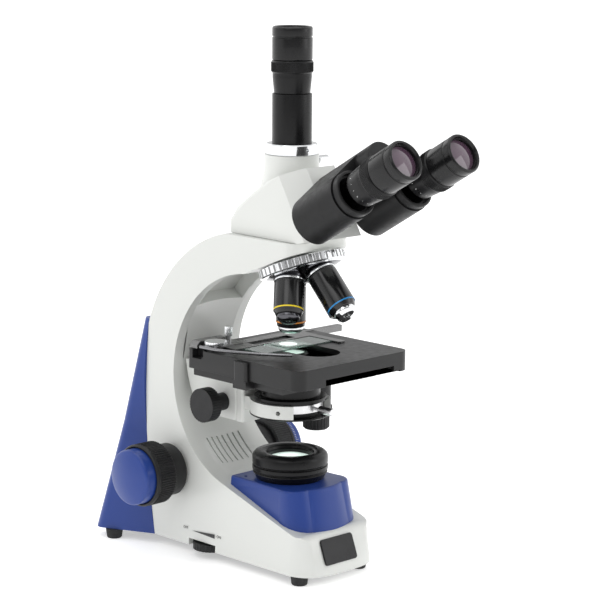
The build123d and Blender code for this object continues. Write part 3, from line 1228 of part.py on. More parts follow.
def make_eyetube(side):
    x, y = tube_centre(side)
    place = BINO * Pos(x, y, 0)
    lobe = (LOBE_SPLIT + GAP, LOBE_FRONT) if side < 0 else (SHELL_BACK, LOBE_SPLIT)
    web = extrude(web_face(side, SHELL_BACK), amount=SHELL_FRONT - SHELL_BACK, dir=(0, -cos(E), sin(E)))
    other = (SHELL_BACK - 1, LOBE_SPLIT + GAP) if side < 0 else (LOBE_SPLIT, LOBE_FRONT + 5)
    web -= rod(LOBE_R + 0.6, other[0], other[1], BINO)
    shell = rod(SHELL_R, SHELL_BACK, SHELL_FRONT, place)
    body = shell + web + rod(LOBE_R, lobe[0], lobe[1], BINO)
    if side < 0:
        body = chamfer([e for e in body.edges() if e.geom_type == GeomType.CIRCLE
                        and abs(e.radius - LOBE_R) < 0.01
                        and abs((BINO.inverse() * Pos(e.center())).position.Z - LOBE_FRONT) < 0.01], 0.8)
    body -= rod(LOBE_R + 0.6, other[0], other[1], BINO)
    collar = turned([(0, SHELL_FRONT - 1), (SHELL_R - 1.8, SHELL_FRONT - 1), (SHELL_R - 1.8, SHELL_FRONT + 1.0),
                     (SHELL_R - 0.9, SHELL_FRONT + 1.6), (SHELL_R - 0.9, COLLAR_FRONT - 0.8),
                     (SHELL_R - 1.6, COLLAR_FRONT), (0, COLLAR_FRONT)], place)
    body += collar
    body -= rod(14.3 + RUN, SHELL_BACK + 6, COLLAR_FRONT + 1, place)
    body -= rod(16.4, COLLAR_FRONT - 4.0, COLLAR_FRONT + 1, place)
    body -= rod(9.0, SHELL_BACK + 3, SHELL_BACK + 20, place)
    body -= rod(PIVOT_R + RUN, SHELL_BACK - 1, LOBE_FRONT - 3 if side < 0 else LOBE_FRONT, BINO)
    return body


def make_pivot_shaft():
    return rod(PIVOT_R, FACE_STATION - 20, LOBE_FRONT - 3.4, BINO) \
        + tube(PIVOT_R + 6, PIVOT_R - 1, FACE_STATION, SHELL_BACK - GAP, BINO)


def diopter_place(side):
    x, y = tube_centre(side)
    return BINO * Pos(x, y, 0)


def make_diopter_ring(side):
    place = diopter_place(side)
    sleeve = tube(14.3, EYE_TUBE_R + 1.2, DIOPTER_LOW - 22, DIOPTER_LOW, place)
    barrel = turned(barrel_profile(DIOPTER_LOW, EYE_TUBE_R + 0.05), place)
    return sleeve + barrel


# Hand the pieces over, shifted so that the origin is the bottom centre of the whole

def back_most():
    return COVER_LOW_BACK


def front_most():
    x, y = tube_centre(-1)
    centre = BINO * Pos(x, y, RIM_STATION)
    return centre.position.Y - (EYE_R - 1.0) * sin(E)


Y_SHIFT = -(back_most() + front_most()) / 2


def all_pieces():
    pieces = {
        "stand_casting": make_stand_casting(), "rear_cover": make_rear_cover(), "lamp_cover": make_lamp_cover(),
        "bottom_plate": make_bottom_plate(), "feet": make_feet(), "foot_screws": make_foot_screws(),
        "collector_ring": make_collector_ring(), "field_lens": make_field_lens(),
        "lamp_module": make_lamp_module(), "power_board": make_power_board(), "power_inlet": make_power_inlet(),
        "brightness_dial": make_brightness_dial(), "shaft_bushes": make_shaft_bushes(),
        "tension_collar": make_tension_collar(), "coarse_shaft": make_coarse_shaft(),
        "coarse_knob_left": coarse_knob(-1), "coarse_knob_right": coarse_knob(1),
        "fine_knob_left": fine_knob(-1), "fine_knob_right": fine_knob(1),
        "focus_guide": make_focus_guide(), "focus_slide": make_focus_slide(),
        "stage_carriage": make_stage_carriage(), "condenser_carrier": make_condenser_carrier(),
        "condenser_body": make_condenser_body(), "condenser_lens": make_condenser_lens(),
        "iris_ring": make_iris_ring(), "condenser_knob": make_condenser_knob(),
        "stage_base": make_stage_base(), "stage_top": make_stage_top(), "xy_bracket": make_xy_bracket(),
        "y_knob": make_y_knob(), "x_knob": make_x_knob(), "holder_slider": make_holder_slider(),
        "holder_screws": make_holder_screws(), "spring_finger": make_spring_finger(),
        "specimen_slide": make_specimen_slide(), "nosepiece_seat": make_nosepiece_seat(),
        "turret": make_turret(), "objective_lenses": make_objective_lenses(),
        "head_housing": make_head_housing(), "prism_block": make_prism_block(),
        "head_lock_screw": make_head_lock_screw(), "port_ring": make_port_ring(),
        "photo_tube": make_photo_tube(), "light_rod": make_light_rod(), "pivot_shaft": make_pivot_shaft(),
        "left_eyetube": make_eyetube(-1), "right_eyetube": make_eyetube(1),
        "photo_eyepiece": eyepiece_body(TUBE_TOP + BARREL_H, Location()),
        "photo_eye_lens": eyepiece_lens(TUBE_TOP + BARREL_H, Location()),
    }
    for name, (length, angle, tip) in OBJECTIVES.items():
        pieces[name] = make_objective(length, angle, tip)
    for name, side in (("left", -1), ("right", 1)):
        low = RIM_STATION - EYE_H
        pieces[name + "_diopter_ring"] = make_diopter_ring(side)
        pieces[name + "_eyepiece"] = eyepiece_body(low, diopter_place(side))
        pieces[name + "_eye_lens"] = eyepiece_lens(low, diopter_place(side))
    return pieces


def write_parts():
    os.makedirs("parts", exist_ok=True)
    for name, shape in all_pieces().items():
        solids = shape if isinstance(shape, list) else shape.solids()
        moved = [Pos(0, Y_SHIFT, 0) * s for s in solids]
        export_step(moved[0] if len(moved) == 1 else Compound(moved), f"parts/{name}.step")


write_parts()
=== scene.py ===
import json
import math

import bmesh
import bpy
from mathutils import Matrix, Vector


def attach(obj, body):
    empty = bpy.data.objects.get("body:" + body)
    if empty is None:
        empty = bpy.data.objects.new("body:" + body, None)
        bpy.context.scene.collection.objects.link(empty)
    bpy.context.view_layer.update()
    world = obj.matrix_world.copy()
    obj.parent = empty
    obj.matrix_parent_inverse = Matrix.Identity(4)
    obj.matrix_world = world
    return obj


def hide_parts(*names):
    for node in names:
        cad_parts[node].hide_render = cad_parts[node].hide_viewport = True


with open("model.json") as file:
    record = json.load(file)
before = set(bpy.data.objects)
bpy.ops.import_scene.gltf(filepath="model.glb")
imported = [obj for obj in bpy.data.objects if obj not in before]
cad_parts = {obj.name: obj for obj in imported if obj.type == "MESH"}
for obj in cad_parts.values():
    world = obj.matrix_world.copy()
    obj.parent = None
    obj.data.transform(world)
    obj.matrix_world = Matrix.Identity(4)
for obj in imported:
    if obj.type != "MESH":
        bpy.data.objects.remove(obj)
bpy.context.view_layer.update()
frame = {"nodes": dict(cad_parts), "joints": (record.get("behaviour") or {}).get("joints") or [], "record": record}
nodes = frame["nodes"]
joints = {joint["name"]: joint for joint in frame["joints"]}

# Camera: it stands front left of the microscope, a little above the stage, with a long lens.
# Places are in millimetres about the optical axis, on which the head turns, unless a line says
# otherwise.
OPTICAL_AXIS = Vector(joints["head_turn"]["pos_m"]) * Vector((1, 1, 0))
CAMERA = {"place": (-1255.08, -1290.26, 558.41), "look": (0.68842, 0.70197, -0.18254), "roll": 0.355,
          "lens": 134.13, "sensor": 36.0, "reach": 50}


def at(x, y, z):
    """A place in metres, from millimetres about the optical axis."""
    return OPTICAL_AXIS + Vector((x, y, z)) / 1000


camera_data = bpy.data.cameras.new("camera")
camera_data.lens = CAMERA["lens"]
camera_data.sensor_width = CAMERA["sensor"]
camera_data.clip_end = CAMERA["reach"]
camera = bpy.data.objects.new("camera", camera_data)
bpy.context.scene.collection.objects.link(camera)
bpy.context.scene.camera = camera
look = Vector(CAMERA["look"]).normalized()
level = look.cross(Vector((0, 0, 1))).normalized()
roll = math.radians(CAMERA["roll"])
across = math.cos(roll) * level + math.sin(roll) * level.cross(look)
upward = across.cross(look)
turn = Matrix((across, upward, -look)).transposed().to_4x4()
camera.matrix_world = Matrix.Translation(at(*CAMERA["place"])) @ turn

# Room: a grey studio with bright walls to the left, right and back and a bright ceiling, which
# give the black pieces their streaks of light, and three soft boxes aimed at the microscope.
ROOM_LIGHT = 0.34
left, back = -across, Vector((look.x, look.y, 0)).normalized()
# Each wall as direction, cosine where its light starts, cosine where it is full, and strength.
WALLS = ((left + 0.3 * back, 0.45, 0.72, 0.74), (-left + 0.25 * back, 0.55, 0.80, 0.70),
         (Vector((0, 0, 1)) - 0.2 * back, 0.60, 0.85, 0.75), (back, 0.2, 0.6, 0.35))
LAMP_AIM = (0, 0, 220)
# Each soft box as place and size in metres, and power.
LAMPS = {"key_lamp": ((-1.5, -0.5, 1.5), (1.0, 1.2), 4.5), "fill_lamp": ((1.3, -1.6, 0.9), (0.8, 1.2), 3.5),
         "top_lamp": ((0.1, 0.2, 1.9), (1.4, 1.4), 5)}


def soft_lamp(name, place, size, power):
    """Large soft box aimed at the middle of the microscope."""
    data = bpy.data.lights.new(name, "AREA")
    data.shape = "RECTANGLE"
    data.size, data.size_y = size
    data.energy = power
    lamp = bpy.data.objects.new(name, data)
    bpy.context.scene.collection.objects.link(lamp)
    aim = (at(*LAMP_AIM) - Vector(place)).to_track_quat("-Z", "Y")
    lamp.matrix_world = Matrix.Translation(Vector(place)) @ aim.to_matrix().to_4x4()


world = bpy.data.worlds.new("room")
world.use_nodes = True
room = world.node_tree
background = room.nodes["Background"]
direction = room.nodes.new("ShaderNodeTexCoord").outputs["Generated"]
light = None
for aim, start, full, strength in WALLS:
    cosine = room.nodes.new("ShaderNodeVectorMath")
    cosine.operation = "DOT_PRODUCT"
    cosine.inputs[1].default_value = aim.normalized()
    wall = room.nodes.new("ShaderNodeMapRange")
    wall.interpolation_type = "SMOOTHSTEP"
    wall.inputs["From Min"].default_value = start
    wall.inputs["From Max"].default_value = full
    wall.inputs["To Min"].default_value = 0.0
    wall.inputs["To Max"].default_value = strength
    room.links.new(direction, cosine.inputs[0])
    room.links.new(cosine.outputs["Value"], wall.inputs["Value"])
    total = room.nodes.new("ShaderNodeMath")
    total.operation = "ADD"
    total.inputs[1].default_value = ROOM_LIGHT
    if light is not None:
        room.links.new(light, total.inputs[1])
    room.links.new(wall.outputs["Result"], total.inputs[0])
    light = total.outputs["Value"]
background.inputs["Color"].default_value = (1, 1, 1, 1)
room.links.new(light, background.inputs["Strength"])
bpy.context.scene.world = world
bpy.context.scene.view_settings.view_transform = "Standard"
for name, (place, size, power) in LAMPS.items():
    soft_lamp(name, place, size, power)

# Floor: a pale sheet that runs out of sight on all sides. It glows a little, so that the
# shadows on it stay pale.
FLOOR_HALF = 14
FLOOR_GLOW = 0.42


class Finish:
    """One procedural finish: colour with slight mottling, uneven gloss and a fine surface grain."""

    NOISE_LOW, NOISE_HIGH = 0.3, 0.7

    def __init__(self, name, colour, rough, metal=0.0):
        self.material = bpy.data.materials.new(name)
        self.material.use_nodes = True
        self.tree = self.material.node_tree
        self.shader = self.tree.nodes["Principled BSDF"]
        self.shader.inputs["Base Color"].default_value = (*colour, 1)
        self.shader.inputs["Roughness"].default_value = rough
        self.shader.inputs["Metallic"].default_value = metal
        self.colour = colour
        self.place = self.tree.nodes.new("ShaderNodeTexCoord").outputs["Object"]

    def node(self, kind, **values):
        """A new node with some of its inputs set."""
        made = self.tree.nodes.new(kind)
        for key, value in values.items():
            made.inputs[key.replace("_", " ")].default_value = value
        return made

    def noise(self, scale, detail=3.0, stretch=None):
        """Noise on the piece's own place, stretched along its axes where stretch is given."""
        made = self.node("ShaderNodeTexNoise", Scale=scale, Detail=detail)
        source = self.place
        if stretch:
            mapping = self.node("ShaderNodeMapping")
            mapping.inputs["Scale"].default_value = stretch
            self.tree.links.new(source, mapping.inputs["Vector"])
            source = mapping.outputs["Vector"]
        self.tree.links.new(source, made.inputs["Vector"])
        return made.outputs["Fac"]

    def mottle(self, amount, scale):
        """Colour wanders a little from place to place."""
        mix = self.tree.nodes.new("ShaderNodeMix")
        mix.data_type = "RGBA"
        share, lighter, darker = mix.inputs[0], mix.inputs[6], mix.inputs[7]
        mixed = mix.outputs[2]
        lighter.default_value = (*[min(1, c * (1 + amount)) for c in self.colour], 1)
        darker.default_value = (*[c * (1 - amount) for c in self.colour], 1)
        self.tree.links.new(self.noise(scale), share)
        self.tree.links.new(mixed, self.shader.inputs["Base Color"])
        return self

    def gloss(self, low, high, scale, stretch=None):
        """Roughness varies between low and high."""
        band = self.node("ShaderNodeMapRange")
        band.inputs["From Min"].default_value = self.NOISE_LOW
        band.inputs["From Max"].default_value = self.NOISE_HIGH
        band.inputs["To Min"].default_value = low
        band.inputs["To Max"].default_value = high
        self.tree.links.new(self.noise(scale, stretch=stretch), band.inputs["Value"])
        self.tree.links.new(band.outputs["Result"], self.shader.inputs["Roughness"])
        return self

    def grain(self, scale, depth):
        """Fine bumps, such as paint skin, moulded texture or turning marks."""
        bump = self.node("ShaderNodeBump", Strength=1.0, Distance=depth)
        self.tree.links.new(self.noise(scale, detail=4.0), bump.inputs["Height"])
        self.tree.links.new(bump.outputs["Normal"], self.shader.inputs["Normal"])
        return self

    def glow(self, colour, strength):
        """The surface gives off light of its own."""
        self.shader.inputs["Emission Color"].default_value = (*colour, 1)
        self.shader.inputs["Emission Strength"].default_value = strength
        return self

    def set(self, **values):
        """Numbers that are the same all over the surface."""
        for key, value in values.items():
            self.shader.inputs[key.replace("_", " ")].default_value = value
        return self


floor_mesh = bpy.data.meshes.new("floor")
floor_shape = bmesh.new()
bmesh.ops.create_grid(floor_shape, x_segments=1, y_segments=1, size=FLOOR_HALF)
floor_shape.to_mesh(floor_mesh)
floor_shape.free()
floor = bpy.data.objects.new("floor", floor_mesh)
bpy.context.scene.collection.objects.link(floor)
floor_finish = Finish("pale_floor", (0.92, 0.92, 0.92), 0.6).glow((1, 1, 1), FLOOR_GLOW)
floor_mesh.materials.append(floor_finish.material)

# Stand: base and curved arm in one aluminium casting, stoved with a warm white enamel. The paint
# leaves a slight orange-peel skin and rounds every edge. The front of the base bows out and
# leans, most of all low down, and its corners fall away.
enamel = Finish("white_enamel", (0.71, 0.722, 0.695), 0.32).mottle(0.008, 14).gloss(0.29, 0.35, 160)
enamel.grain(900, 0.00003).set(Coat_Weight=0.25, Coat_Roughness=0.12)
SAME_PLACE = 2e-6
FLAT = math.radians(1.2)
SHARP = math.radians(32)
FRONT = {"starts": -38.0, "whole": -50.0, "low": 17.0, "high": 37.0, "reach": 4.0, "bow": 7.3,
         "least": 0.1, "half": 43.0, "corner": 1.7, "corner_power": 3.5}
FRONT_CUTS_X = range(-42, 43, 6)
FRONT_CUTS_Z = range(10, 42, 4)


def settle(piece):
    """Modifiers become plain mesh."""
    bpy.context.view_layer.update()
    graph = bpy.context.evaluated_depsgraph_get()
    mesh = bpy.data.meshes.new_from_object(piece.evaluated_get(graph))
    piece.modifiers.clear()
    piece.data = mesh
    return mesh


def body_of(node_name):
    """The body that a node belongs to."""
    groups = frame["record"]["behaviour"]["bodies"]
    return next(body for body, members in groups.items() if node_name in members)


def softened(node_name, width, finish, segments=3):
    """A copy of a node whose sharp edges are rounded, as cast or moulded edges are."""
    mesh = nodes[node_name].data.copy()
    mesh.name = node_name + "_soft"
    for layer in [entry for entry in mesh.attributes if entry.name == "custom_normal"]:
        mesh.attributes.remove(layer)
    shell = bmesh.new()
    shell.from_mesh(mesh)
    bmesh.ops.remove_doubles(shell, verts=shell.verts, dist=SAME_PLACE)
    bmesh.ops.dissolve_limit(shell, angle_limit=FLAT, verts=shell.verts, edges=shell.edges)
    for face in shell.faces:
        face.smooth = True
    shell.to_mesh(mesh)
    shell.free()
    piece = bpy.data.objects.new(node_name + "_soft", mesh)
    bpy.context.scene.collection.objects.link(piece)
    bevel = piece.modifiers.new("edges", "BEVEL")
    bevel.width = width / 1000
    bevel.segments = segments
    bevel.limit_method = "ANGLE"
    bevel.angle_limit = SHARP
    bevel.use_clamp_overlap = True
    bevel.harden_normals = True
    bevel.miter_outer = "MITER_ARC"
    settle(piece)
    piece.data.materials.clear()
    piece.data.materials.append(finish.material)
    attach(piece, body_of(node_name))
    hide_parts(node_name)
    return piece


def bow_front(mesh):
    """Divides the base front and moves it to its bowed, leaning form."""
    shape = bmesh.new()
    shape.from_mesh(mesh)
    cuts = [(Vector((1, 0, 0)), at(x, 0, 0)) for x in FRONT_CUTS_X]
    cuts += [(Vector((0, 0, 1)), at(0, 0, z)) for z in FRONT_CUTS_Z]
    start = at(0, FRONT["starts"], 0).y
    top = FRONT["high"] + FRONT["reach"]
    ceiling = at(0, 0, top).z
    for normal, place in cuts:
        faces = [face for face in shape.faces if min(v.co.y for v in face.verts) < start
                 and min(v.co.z for v in face.verts) < ceiling]
        edges = {edge for face in faces for edge in face.edges}
        verts = {vert for face in faces for vert in face.verts}
        touched = [*faces, *edges, *verts]
        bmesh.ops.bisect_plane(shape, geom=touched, plane_co=place, plane_no=normal, dist=1e-6)
    for vertex in shape.verts:
        x, y, z = (vertex.co - at(0, 0, 0)) * 1000
        near = min(1, max(0, (FRONT["starts"] - y) / (FRONT["starts"] - FRONT["whole"])))
        depth = min(1, max(0, (FRONT["high"] - z) / (FRONT["high"] - FRONT["low"])))
        amount = near * (FRONT["least"] + (1 - FRONT["least"]) * depth) * FRONT["bow"]
        if z < top and amount > 0:
            fall = FRONT["corner"] * abs(x / FRONT["half"]) ** FRONT["corner_power"]
            vertex.co.y -= amount * (1 - fall) / 1000
    shape.to_mesh(mesh)
    shape.free()


casting = softened("stand_casting", 3.0, enamel)
bow_front(casting.data)

# Rear cover and lamp cover: moulded blue plastic shells with an even, slightly silky face. The
# two rear foot screws pass up into the rear cover. The lamp cover stands on the base deck and
# has two screw holes behind its ring.
blue = Finish("blue_moulding", (0.018, 0.050, 0.25), 0.30).mottle(0.03, 30).gloss(0.28, 0.33, 260)
blue.grain(1400, 0.00002).set(Specular_IOR_Level=0.4)
softened("rear_cover", 1.2, blue)
softened("lamp_cover", 1.0, blue)

# Bottom plate, feet and their screws: a steel plate, painted black, that closes the base, and
# four rubber feet, each held by a steel screw. They are seen only from low down.
plate_paint = Finish("plate_paint", (0.05, 0.05, 0.055), 0.5).gloss(0.4, 0.6, 60).grain(700, 0.00004)
rubber = Finish("foot_rubber", (0.016, 0.016, 0.017), 0.72).gloss(0.62, 0.85, 90).grain(1200, 0.00005)
zinc = Finish("zinc_plate", (0.55, 0.54, 0.50), 0.34, 1.0).gloss(0.28, 0.46, 220)


def paint_node(name, finish):
    """A node keeps its shape and gets a better finish."""
    node = nodes[name]
    node.data.materials.clear()
    node.data.materials.append(finish.material)


paint_node("bottom_plate", plate_paint)
paint_node("feet", rubber)
paint_node("foot_screws", zinc)

# Lamp: a light diode on a finned aluminium heat sink and a green circuit board, both on the
# bottom plate, and above them the turned and anodised collector ring with the field lens. The
# light is on, so the lens glows a cool greenish white.
black_anodised = Finish("black_anodised", (0.007, 0.007, 0.0075), 0.34).mottle(0.1, 30)
black_anodised.gloss(0.26, 0.34, 150).grain(2400, 0.000012).set(Specular_IOR_Level=0.25)


def lit_lens(name, colour, strength):
    """Polished glass with the lamp's light in it."""
    return Finish(name, colour, 0.08).set(Coat_Weight=0.6, Coat_Roughness=0.03).glow(colour, strength)


paint_node("lamp_module", Finish("cast_sink", (0.6, 0.6, 0.62), 0.4, 1.0).gloss(0.3, 0.5, 120))
paint_node("power_board", Finish("board_green", (0.02, 0.12, 0.06), 0.45).mottle(0.3, 60))
softened("collector_ring", 0.5, black_anodised)
paint_node("field_lens", lit_lens("lit_field_lens", (0.80, 0.96, 0.88), 0.9))

# Badge place: a bare black plate with rounded corners and a broken front edge, which leans with
# the front of the base. Its material and its fixing can't be told from the photo.
BADGE = {"middle": (-4.0, -60.6, 26.5), "size": (36.5, 21.5), "thick": 1.5, "corner": 2.6, "edge": 0.4,
         "lean": 21.0, "steps": 8}
badge_paint = Finish("badge_black", (0.008, 0.008, 0.009), 0.26).gloss(0.22, 0.30, 80)
badge_paint.grain(500, 0.00001).set(Specular_IOR_Level=0.3)


def new_piece(name, mesh, finish, body):
    """A finished mesh becomes a piece that rides on a body."""
    piece = bpy.data.objects.new(name, mesh)
    bpy.context.scene.collection.objects.link(piece)
    mesh.materials.clear()
    mesh.materials.append(finish.material)
    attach(piece, body)
    return piece


def badge_plate():
    """Upright plate in local XZ, its face towards -Y, with rounded corners and a broken edge."""
    width, height = BADGE["size"]
    corner, thick, edge, steps = BADGE["corner"], BADGE["thick"], BADGE["edge"], BADGE["steps"]
    shape = bmesh.new()
    loops = []
    for inset, depth in ((0, 0), (0, thick - edge), (edge, thick)):
        ring = []
        for side_x, side_z, start in ((1, 1, 0), (-1, 1, 90), (-1, -1, 180), (1, -1, 270)):
            for step in range(steps + 1):
                angle = math.radians(start + 90 * step / steps)
                x = side_x * (width / 2 - corner) + (corner - inset) * math.cos(angle)
                z = side_z * (height / 2 - corner) + (corner - inset) * math.sin(angle)
                ring.append(shape.verts.new((x / 1000, -depth / 1000, z / 1000)))
        loops.append(ring)
    count = len(loops[0])
    for low, high in zip(loops, loops[1:]):
        for i in range(count):
            after = (i + 1) % count
            shape.faces.new((low[i], low[after], high[after], high[i]))
    shape.faces.new(loops[-1])
    shape.faces.new(list(reversed(loops[0])))
    bmesh.ops.recalc_face_normals(shape, faces=shape.faces)
    mesh = bpy.data.meshes.new("plate")
    shape.to_mesh(mesh)
    shape.free()
    return mesh


badge = badge_plate()
leaning = Matrix.Rotation(-math.radians(BADGE["lean"]), 4, "X")
badge.transform(Matrix.Translation(at(*BADGE["middle"])) @ leaning)
new_piece("badge_place", badge, badge_paint, "stand")

# Coarse knobs: moulded black plastic drums on the two ends of the hollow coarse shaft, with
# fine ribs round the grip, a smooth rim, and a recess in which the fine knob turns.
COARSE = {"inner": 59.0, "outer": 80.5, "radius": 26.5, "bore": 5.2, "recess": 24.1, "floor": 8.0,
          "ribs": 76}
RIB = ((-0.5, -0.62), (0.05, -0.50), (0.42, -0.16), (0.42, 0.16), (0.05, 0.50), (-0.5, 0.62))
CREASE = math.radians(35)
nylon = Finish("black_nylon", (0.010, 0.010, 0.011), 0.46).mottle(0.15, 40).gloss(0.42, 0.52, 200)
nylon.grain(1100, 0.00004).set(Specular_IOR_Level=0.35)


def frame_along(origin, axis, start=(0, 0, 1)):
    """Matrix whose local Z runs along axis through origin, its X as near as can be to start."""
    z = Vector(axis).normalized()
    x = (Vector(start) - z * z.dot(Vector(start))).normalized()
    y = z.cross(x)
    return Matrix.Translation(Vector(origin)) @ Matrix((x, y, z)).transposed().to_4x4()


def eased(points, radius, steps=3):
    """Profile with its corners rounded; points are (distance from the axis, height) in mm."""
    out = [points[0]]
    for before, corner, after in zip(points, points[1:], points[2:]):
        a, b, c = (Vector(point) for point in (before, corner, after))
        reach = min(radius, (a - b).length * 0.45, (c - b).length * 0.45)
        start = b + (a - b).normalized() * reach
        end = b + (c - b).normalized() * reach
        for step in range(steps + 1):
            t = step / steps
            out.append(tuple(start * (1 - t) ** 2 + b * 2 * t * (1 - t) + end * t ** 2))
    return out + [points[-1]]


def turned(profile, segments=96):
    """Closed turned mesh; the profile runs from the axis, or from a bore, and back."""
    shape = bmesh.new()
    rings = []
    for r, z in profile:
        if r < 1e-6:
            rings.append([shape.verts.new((0, 0, z / 1000))])
            continue
        angles = [2 * math.pi * i / segments for i in range(segments)]
        rings.append([shape.verts.new((r * math.cos(a) / 1000, r * math.sin(a) / 1000, z / 1000))
                      for a in angles])
    pairs = list(zip(rings, rings[1:]))
    if len(rings[0]) > 1 and len(rings[-1]) > 1:
        pairs.append((rings[-1], rings[0]))
    for low, high in pairs:
        if len(low) == 1 and len(high) == 1:
            continue
        for i in range(segments):
            j = (i + 1) % segments
            corners = [low[i % len(low)], low[j % len(low)], high[j % len(high)], high[i % len(high)]]
            shape.faces.new(list(dict.fromkeys(corners)))
    bmesh.ops.recalc_face_normals(shape, faces=shape.faces)
    for face in shape.faces:
        face.smooth = True
    mesh = bpy.data.meshes.new("turned")
    shape.to_mesh(mesh)
    shape.free()
    mesh.set_sharp_from_angle(angle=CREASE)
    return mesh


def bar(profile, low, high):
    """Straight bar along local Z from a closed (x, y) outline, all in mm."""
    shape = bmesh.new()
    ends = [[shape.verts.new((x / 1000, y / 1000, z / 1000)) for x, y in profile] for z in (low, high)]
    count = len(profile)
    for i in range(count):
        after = (i + 1) % count
        shape.faces.new((ends[0][i], ends[0][after], ends[1][after], ends[1][i]))
    shape.faces.new(list(reversed(ends[0])))
    shape.faces.new(ends[1])
    bmesh.ops.recalc_face_normals(shape, faces=shape.faces)
    mesh = bpy.data.meshes.new("bar")
    shape.to_mesh(mesh)
    shape.free()
    return mesh


def around_tree():
    """Geometry Nodes: copies of one item around local Z, each with its X side outwards."""
    tree = bpy.data.node_groups.new("around", "GeometryNodeTree")
    for label, kind in (("Item", "Object"), ("Count", "Int"), ("Radius", "Float"), ("Finish", "Material")):
        tree.interface.new_socket(label, in_out="INPUT", socket_type="NodeSocket" + kind)
    tree.interface.new_socket("Geometry", in_out="OUTPUT", socket_type="NodeSocketGeometry")
    given = tree.nodes.new("NodeGroupInput")
    ring = tree.nodes.new("GeometryNodeMeshCircle")
    item = tree.nodes.new("GeometryNodeObjectInfo")
    copies = tree.nodes.new("GeometryNodeInstanceOnPoints")
    position = tree.nodes.new("GeometryNodeInputPosition")
    outward = tree.nodes.new("FunctionNodeAlignRotationToVector")
    outward.axis = "X"
    outward.pivot_axis = "Z"
    real = tree.nodes.new("GeometryNodeRealizeInstances")
    paint = tree.nodes.new("GeometryNodeSetMaterial")
    result = tree.nodes.new("NodeGroupOutput")
    link = tree.links.new
    link(given.outputs["Count"], ring.inputs["Vertices"])
    link(given.outputs["Radius"], ring.inputs["Radius"])
    link(given.outputs["Item"], item.inputs["Object"])
    link(ring.outputs["Mesh"], copies.inputs["Points"])
    link(item.outputs["Geometry"], copies.inputs["Instance"])
    link(position.outputs["Position"], outward.inputs["Vector"])
    link(outward.outputs["Rotation"], copies.inputs["Rotation"])
    link(copies.outputs["Instances"], real.inputs["Geometry"])
    link(real.outputs["Geometry"], paint.inputs["Geometry"])
    link(given.outputs["Finish"], paint.inputs["Material"])
    link(paint.outputs["Geometry"], result.inputs["Geometry"])
    return tree


AROUND = around_tree()


def grown(tree, values):
    """Runs a Geometry Nodes tree once and returns its result as a plain mesh."""
    host = bpy.data.objects.new("host", bpy.data.meshes.new("host"))
    bpy.context.scene.collection.objects.link(host)
    modifier = host.modifiers.new("nodes", "NODES")
    modifier.node_group = tree
    keys = {entry.name: entry.identifier for entry in tree.interface.items_tree if entry.in_out == "INPUT"}
    for label, value in values.items():
        modifier[keys[label]] = value
    mesh = settle(host)
    bpy.data.objects.remove(host)
    return mesh


def copies_around(item_mesh, count, radius, finish):
    """Copies of an item on a circle of the given radius, in mm, as one mesh."""
    item = bpy.data.objects.new("item", item_mesh)
    bpy.context.scene.collection.objects.link(item)
    item.hide_render = True
    mesh = grown(AROUND, {"Item": item, "Count": count, "Radius": radius / 1000, "Finish": finish.material})
    bpy.data.objects.remove(item)
    return mesh


def joined(name, meshes, place, finish, body):
    """Several meshes in one local frame become one piece at its place."""
    shape = bmesh.new()
    for mesh in meshes:
        shape.from_mesh(mesh)
    whole = bpy.data.meshes.new(name)
    shape.to_mesh(whole)
    shape.free()
    whole.transform(place)
    whole.set_sharp_from_angle(angle=CREASE)
    return new_piece(name, whole, finish, body)


SIDES = {"left": -1, "right": 1}
focus_middle = Vector(joints["coarse_turn"]["pos_m"])
focus_place = {label: frame_along(focus_middle, (side, 0, 0)) for label, side in SIDES.items()}
r, inner, outer, recess = COARSE["radius"], COARSE["inner"], COARSE["outer"], COARSE["recess"]
drum_profile = eased([(COARSE["bore"], inner), (r - 1.6, inner), (r - 0.5, inner + 1.2),
                      (r - 0.5, outer - 4.2), (r - 0.1, outer - 3.6), (r - 0.1, outer - 1.4),
                      (r - 1.2, outer), (recess + 0.3, outer),
                      (recess, outer - 0.6), (recess, outer - COARSE["floor"]),
                      (COARSE["bore"], outer - COARSE["floor"])], 0.5)
for label in SIDES:
    ribs = copies_around(bar(RIB, inner + 1.4, outer - 4.4), COARSE["ribs"], r - 0.42, nylon)
    drum = [turned(drum_profile), ribs]
    knob = joined("coarse_drum_" + label, drum, focus_place[label], nylon, "coarse")
    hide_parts("coarse_knob_" + label)

# Fine knobs: blue moulded caps with a shallow dome, on the spindle that runs inside the coarse
# shaft, each with a set screw hole in its rim. The right one carries a skirt with a hundred
# white divisions, every tenth one longer.
FINE = {"inner": 72.8, "outer": 90.5, "radius": 23.5, "dome": 3.5, "skirt": 24.8, "skirt_low": 9.5,
        "skirt_high": 3.0, "divisions": 100, "long_divisions": 10}
SET_SCREW = {"radius": 1.0, "sunk": 0.2, "proud": 0.05, "lean": 25, "from_rim": 4.2}
LINE = ((0, -0.11), (0.06, -0.11), (0.06, 0.11), (0, 0.11))
LINE_ENDS = {"low": 9.0, "short": 6.8, "long": 5.6}
white_print = Finish("white_print", (0.82, 0.83, 0.82), 0.5).mottle(0.04, 300)


def dome_points(radius, low, rise, steps=14):
    """Shallow dome from its rim to the axis."""
    big = (radius ** 2 + rise ** 2) / (2 * rise)
    reach = math.asin(radius / big)
    middle = low + rise - big
    angles = [reach * (1 - i / steps) for i in range(steps + 1)]
    return [(big * math.sin(a), middle + big * math.cos(a)) for a in angles]


